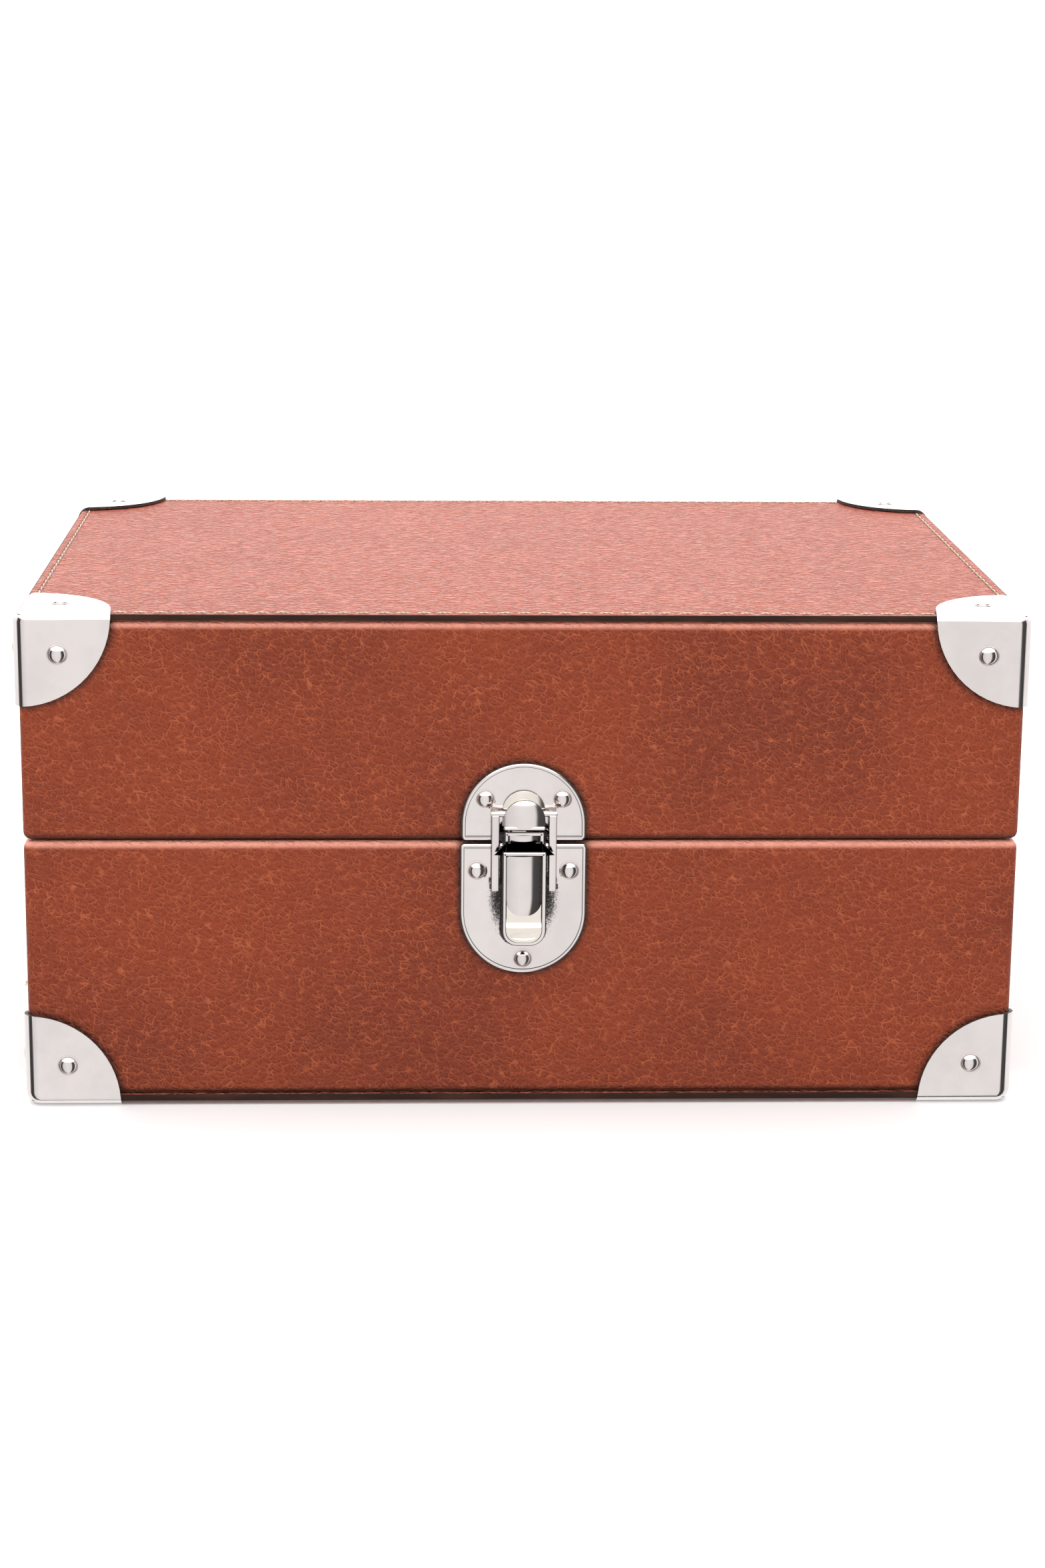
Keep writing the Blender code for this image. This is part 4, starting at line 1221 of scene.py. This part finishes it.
def tray_walls():
    """The tray: a suede-covered box with soft rims."""
    low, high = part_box("tray_shell")
    bm = bmesh.new()
    block(bm, low, high)
    top = facing(bm, (0, 0, 1))
    bmesh.ops.inset_region(bm, faces=top, thickness=TRAY_WALL, use_even_offset=True)
    made = bmesh.ops.extrude_face_region(bm, geom=top)["geom"]
    bmesh.ops.delete(bm, geom=top, context="FACES_ONLY")
    moved(bm, (0, 0, -(high.z - low.z - TRAY_WALL)), points(made))
    round_off(bm, sharp(bm, 60), 1.1 * MM, 4)
    obj = new_piece("tray_shell_finished", bm, "tray", "suede", ("tray_shell",), 50)
    soften_normals(obj)


def pull_tab(node):
    """A leather tab with a round top, for lifting the tray."""
    low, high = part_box(node)
    bm = bmesh.new()
    arched_face(bm, high.y - low.y, 0.0, high.y - low.y, 0.0, 40)
    cut = high.y - low.y - (high.z - low.z)
    cut_away(bm, (0, 0, cut), (0, 0, -1))
    moved(bm, (0, 0, -cut))
    give_back(bm, high.x - low.x)
    round_off(bm, sharp(bm, 60), 0.3 * MM, 3)
    bmesh.ops.rotate(bm, verts=bm.verts, cent=(0, 0, 0), matrix=Matrix.Rotation(pi / 2, 3, "Z"))
    centre = (low + high) / 2
    across = [v.co.x for v in bm.verts]
    moved(bm, (centre.x - (min(across) + max(across)) / 2, centre.y, low.z))
    new_piece(f"{node}_finished", bm, "tray", "grained_leather", (node,), 50)


def ring_roll_mesh(box):
    """One stuffed roll about its own centre: a rounded bar, swollen by cloth pressure."""
    low, high = box
    size = high - low
    shrink = sizes().roll_swell
    bm = bmesh.new()
    half = size / 2 - Vector((shrink, shrink, shrink))
    soft_block(bm, -half, half, half.y * 0.86, 5)
    obj = linked("ring_roll_work", mesh_from(bm, "ring_roll"))
    add_modifier(obj, "REMESH", mode="VOXEL", voxel_size=ROLL_VOXEL)
    apply_modifiers(obj)
    swell(obj, shrink)
    add_modifier(obj, "SUBSURF", levels=1, render_levels=1)
    apply_modifiers(obj)
    made = obj.data
    bpy.data.objects.remove(obj, do_unlink=True)
    return made


def apply_modifiers(obj):
    bpy.context.view_layer.update()
    graph = bpy.context.evaluated_depsgraph_get()
    mesh = bpy.data.meshes.new_from_object(obj.evaluated_get(graph))
    obj.modifiers.clear()
    obj.data = mesh


def swell(obj, limit):
    """Cloth pressure for a moment, with every point held near where it began."""
    rest = [vert.co.copy() for vert in obj.data.vertices]
    cloth = obj.modifiers.new("Cloth", "CLOTH")
    cloth.settings.use_pressure = True
    cloth.settings.uniform_pressure_force = ROLL_PRESSURE
    cloth.settings.effector_weights.gravity = 0.0
    cloth.settings.mass = 0.1
    scene = bpy.context.scene
    for number in range(1, ROLL_FRAMES + 1):
        scene.frame_set(number)
    apply_modifiers(obj)
    scene.frame_set(1)
    for vert, start in zip(obj.data.vertices, rest):
        move = vert.co - start
        if move.length > limit:
            vert.co = start + move.normalized() * limit


def ring_rolls():
    """A row of stuffed rolls, each a little different."""
    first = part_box("ring_roll_1")
    mesh = ring_roll_mesh(first)
    count = sum(name.startswith("ring_roll_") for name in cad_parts)
    for number in range(1, count + 1):
        node = f"ring_roll_{number}"
        low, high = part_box(node)
        bm = bmesh.new()
        bm.from_mesh(mesh)
        for vert in bm.verts:
            drift = noise.noise_vector(vert.co * 45.0 + Vector((number * 7.0, 0, 0))) * 0.25 * MM
            vert.co += drift
        moved(bm, (low + high) / 2)
        obj = new_piece(f"{node}_finished", bm, "tray", "suede", (node,), 80, tidy=False)


def mirror_glass():
    """The lid's mirror with a bevelled border, in its covered frame."""
    low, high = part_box("mirror")
    bm = bmesh.new()
    block(bm, low, high)
    under = facing(bm, (0, 0, -1))
    bmesh.ops.inset_region(bm, faces=under, thickness=MIRROR_BEVEL, depth=0.35 * MM, use_even_offset=True)
    new_piece("mirror_finished", bm, "lid", "silvered_glass", ("mirror",), 3)
    low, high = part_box("mirror_frame")
    bm = bmesh.new()
    block(bm, low, high)
    round_off(bm, [edge for edge in bm.edges if along(edge, 2)], 2.0 * MM, 4)
    under = facing(bm, (0, 0, -1))
    bmesh.ops.inset_region(bm, faces=under, thickness=MIRROR_FRAME, use_even_offset=True)
    made = bmesh.ops.extrude_face_region(bm, geom=under)["geom"]
    bmesh.ops.delete(bm, geom=under, context="FACES_ONLY")
    moved(bm, (0, 0, 1.9 * MM), points(made))
    round_off(bm, [edge for edge in sharp(bm, 60) if not along(edge, 2)], 0.6 * MM, 3)
    obj = new_piece("mirror_frame_finished", bm, "lid", "suede", ("mirror_frame",), 50)
    soften_normals(obj)


# ---------------------------------------------------------------- stage


def floor():
    bm = bmesh.new()
    bmesh.ops.create_grid(bm, x_segments=1, y_segments=1, size=6.0)
    mesh = mesh_from(bm, "floor")
    f = Finish("white_floor")
    grain = f.noise(30.0, 3.0)
    f.feed(f.shader, "Base Color", f.blend(grain, (0.86, 0.86, 0.86), (0.88, 0.88, 0.88)))
    f.dress(Roughness=0.6, Emission_Color=(1.0, 1.0, 1.0, 1.0), Emission_Strength=0.06)
    mesh.materials.append(f.material)
    obj = linked("floor", mesh)
    obj.visible_glossy = False


def studio_world():
    """White to the camera, even to the diffuse light, and for reflections a tent with two dark flags in front."""
    world = bpy.data.worlds.new("studio")
    bpy.context.scene.world = world
    world.use_nodes = True
    nodes, links = world.node_tree.nodes, world.node_tree.links
    nodes.clear()

    def node(kind, inputs=(), **settings):
        made = nodes.new(kind)
        for name, value in settings.items():
            setattr(made, name, value)
        for index, value in inputs:
            if isinstance(value, bpy.types.NodeSocket):
                links.new(value, made.inputs[index])
            else:
                made.inputs[index].default_value = value
        return made

    where = node("ShaderNodeTexCoord").outputs["Generated"]
    split = node("ShaderNodeSeparateXYZ", [(0, where)]).outputs
    ahead = node("ShaderNodeMath", [(0, split["Y"]), (1, -1.0)], operation="MULTIPLY").outputs[0]
    bearing = node("ShaderNodeMath", [(0, split["X"]), (1, ahead)], operation="ARCTAN2").outputs[0]
    share = node("ShaderNodeMath", [(0, bearing), (1, 0.5 / pi), (2, 0.5)], operation="MULTIPLY_ADD").outputs[0]
    tent = node("ShaderNodeValToRGB", [(0, share)])
    stops = tent.color_ramp.elements
    for degrees, _ in STUDIO_TENT[1:-1]:
        stops.new((degrees + 180.0) / 360.0)
    for stop, (degrees, brightness) in zip(stops, STUDIO_TENT):
        shade = brightness / TENT_TOP
        stop.position = (degrees + 180.0) / 360.0
        stop.color = (shade, shade, shade, 1.0)
    overhead, risen = (
        node(
            "ShaderNodeMapRange", [("Value", split["Z"]), ("From Min", low), ("From Max", high)],
            interpolation_type="SMOOTHSTEP",
        ).outputs["Result"] for low, high in (OVERHEAD_FADE, SKIRT_FADE)
    )
    skirt = node(
        "ShaderNodeMix", [(0, 1.0), (6, tent.outputs[0]), (7, (*[TENT_SKIRT / TENT_TOP] * 3, 1.0))],
        data_type="RGBA", blend_type="DARKEN",
    )
    around = node("ShaderNodeMix", [(0, risen), (6, skirt.outputs[2]), (7, tent.outputs[0])], data_type="RGBA")
    seen = node("ShaderNodeMix", [(0, overhead), (6, around.outputs[2]), (7, (1.0, 1.0, 1.0, 1.0))], data_type="RGBA")
    tinted = node("ShaderNodeBackground", [(0, seen.outputs[2]), (1, TENT_TOP)])
    even = node("ShaderNodeBackground", [(0, (1.0, 0.99, 0.98, 1.0)), (1, AMBIENT)])
    white = node("ShaderNodeBackground", [(0, (1.0, 1.0, 1.0, 1.0)), (1, 1.05)])
    ray = node("ShaderNodeLightPath").outputs
    shown = node("ShaderNodeMixShader", [(0, ray["Is Glossy Ray"]), (1, even.outputs[0]), (2, tinted.outputs[0])])
    every = node("ShaderNodeMixShader", [(0, ray["Is Camera Ray"]), (1, shown.outputs[0]), (2, white.outputs[0])])
    node("ShaderNodeOutputWorld", [("Surface", every.outputs[0])])


def overhead_light():
    """One very soft light, nearly straight above."""
    data = bpy.data.lights.new("overhead", "SUN")
    data.energy = OVERHEAD_STRENGTH
    data.angle = radians(OVERHEAD_SPREAD)
    obj = linked("overhead", data)
    obj.rotation_euler = (radians(12), radians(-6), 0.0)
    obj.visible_glossy = False


def camera():
    """A long lens a little left of the middle, looking down on the case."""
    data = bpy.data.cameras.new("camera")
    data.sensor_width = 36.0
    data.lens = CAMERA_LENS
    data.clip_start, data.clip_end = 0.05, 50.0
    obj = linked("camera", data)
    yaw, pitch, roll = map(radians, CAMERA_TURN)
    turn = (
        Matrix.Rotation(yaw, 4, "Z") @ Matrix.Rotation(pi / 2 - pitch, 4, "X") @ Matrix.Rotation(roll, 4, "Z")
    )
    obj.matrix_world = Matrix.Translation(CAMERA_PLACE) @ turn
    bpy.context.scene.camera = obj


# ---------------------------------------------------------------- operators


class CaseOperator:
    """What every operator of the case shares."""

    bl_options = {"REGISTER", "UNDO"}

    def execute(self, context):
        self.build()
        return {"FINISHED"}


class CASE_OT_leather(CaseOperator, Operator):
    """Wrap the lid and the base in leather"""

    bl_idname = "case.leather"
    bl_label = "Leather walls"

    def build(self):
        wrap("lid_wrap", LID, -1, "lid", "leather_of_lid", ("lid_leather",))
        wrap("base_wrap", BASE, 1, "base", "leather_of_base", ("base_leather",))
        repaint("millboard", "lid_shell", "base_shell")


class CASE_OT_panels(CaseOperator, Operator):
    """Add the top and bottom panels, their painted edges and their stitching"""

    bl_idname = "case.panels"
    bl_label = "Panels and stitching"

    def build(self):
        panel("top_plate", "top_panel", 1, "lid")
        panel("bottom_plate", "bottom_panel", -1, "base")
        stitching("top_stitches", TOP_PANEL, 1, "lid")
        stitching("bottom_stitches", BOTTOM_PANEL, -1, "base")
        thread_end()


class CASE_OT_protectors(CaseOperator, Operator):
    """Add the eight metal corners and their rivets"""

    bl_idname = "case.protectors"
    bl_label = "Corner protectors"

    def build(self):
        for level, body in ((-1, "base"), (1, "lid")):
            for across, side in ((-1, "left"), (1, "right")):
                for depth, end in ((-1, "front"), (1, "rear")):
                    node = f"protector_{body}_{end}_{side}"
                    corner_protector(f"corner_{body}_{end}_{side}", (across, depth, level), body, node)


class CASE_OT_clasp(CaseOperator, Operator):
    """Add the draw latch: plates, hook, bracket, lever, loop and rivets"""

    bl_idname = "case.clasp"
    bl_label = "Draw latch"

    def build(self):
        clasp_plate("clasp_upper_plate_finished", UPPER_PLATE, 1, "lid")
        clasp_plate("clasp_lower_plate_finished", LOWER_PLATE, -1, "base")
        hook("clasp_hook_finished")
        bracket("clasp_bracket_finished")
        lever("clasp_lever_finished")
        bail("clasp_bail_finished")
        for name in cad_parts:
            if name.startswith("clasp_rivet"):
                self.rivet(name)

    def rivet(self, name):
        low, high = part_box(name)
        bm = bmesh.new()
        foot = Vector(((low.x + high.x) / 2, high.y + 0.25 * MM, (low.z + high.z) / 2))
        dome(bm, foot, (0, -1, 0), sizes().rivet_radius, sizes().rivet_height)
        body = "lid" if "upper" in name else "base"
        new_piece(f"{name}_finished", bm, body, "polished_nickel", (name,), 30)


class CASE_OT_hinges(CaseOperator, Operator):
    """Add the rear hinges and the lid stay"""

    bl_idname = "case.hinges"
    bl_label = "Hinges and stay"

    def build(self):
        for side in ("left", "right"):
            hinge_leaf(f"hinge_{side}_base_leaf", -1, "base")
            hinge_leaf(f"hinge_{side}_lid_leaf", 1, "lid")
        repaint("polished_nickel", "hinge_left_pin", "hinge_right_pin")
        stay_arm()


class CASE_OT_inside(CaseOperator, Operator):
    """Line the case and add its ledges, dividers and mirror"""

    bl_idname = "case.inside"
    bl_label = "Lining and mirror"

    def build(self):
        lining("base_lining", 1, "base")
        lining("lid_lining", -1, "lid")
        for node in ("tray_ledge_front", "tray_ledge_rear"):
            covered_box(node, "base", 1.2 * MM)
        for node in ("base_divider_left", "base_divider_right"):
            covered_box(node, "base", 0.9 * MM)
        mirror_glass()


class CASE_OT_tray(CaseOperator, Operator):
    """Add the lift-out tray with its dividers, tabs and ring rolls"""

    bl_idname = "case.tray"
    bl_label = "Tray and ring rolls"

    def build(self):
        tray_walls()
        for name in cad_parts:
            if name.startswith("tray_divider"):
                covered_box(name, "tray", 0.9 * MM)
        for side in ("left", "right"):
            pull_tab(f"tray_tab_{side}")
        ring_rolls()


class CASE_OT_stage(CaseOperator, Operator):
    """Set the floor, the light and the camera"""

    bl_idname = "case.stage"
    bl_label = "Stage"

    def build(self):
        bpy.context.scene.view_settings.view_transform = "Standard"
        floor()
        studio_world()
        overhead_light()
        camera()


OPERATORS = (
    CASE_OT_stage, CASE_OT_leather, CASE_OT_panels, CASE_OT_protectors, CASE_OT_clasp, CASE_OT_hinges,
    CASE_OT_inside, CASE_OT_tray,
)


class CASE_PT_sidebar(Panel):
    """Sizes, colours and steps of the jewellery case"""

    bl_label = "Jewellery case"
    bl_idname = "CASE_PT_sidebar"
    bl_space_type = "VIEW_3D"
    bl_region_type = "UI"
    bl_category = "Case"

    def draw(self, context):
        layout = self.layout
        for group in (context.scene.case_sizes, context.scene.case_colours):
            box = layout.box()
            for name in group.__annotations__:
                box.prop(group, name)
        for operator in OPERATORS:
            layout.operator(operator.bl_idname)


CLASSES = (CASE_PG_sizes, CASE_PG_colours, *OPERATORS, CASE_PT_sidebar)


def register():
    for cls in CLASSES:
        bpy.utils.register_class(cls)
    bpy.types.Scene.case_sizes = PointerProperty(type=CASE_PG_sizes)
    bpy.types.Scene.case_colours = PointerProperty(type=CASE_PG_colours)


def unregister():
    del bpy.types.Scene.case_sizes
    del bpy.types.Scene.case_colours
    for cls in reversed(CLASSES):
        bpy.utils.unregister_class(cls)


def main():
    register()
    for operator in OPERATORS:
        getattr(bpy.ops.case, operator.bl_idname.removeprefix("case."))()


if __name__ == "__main__":
    main()
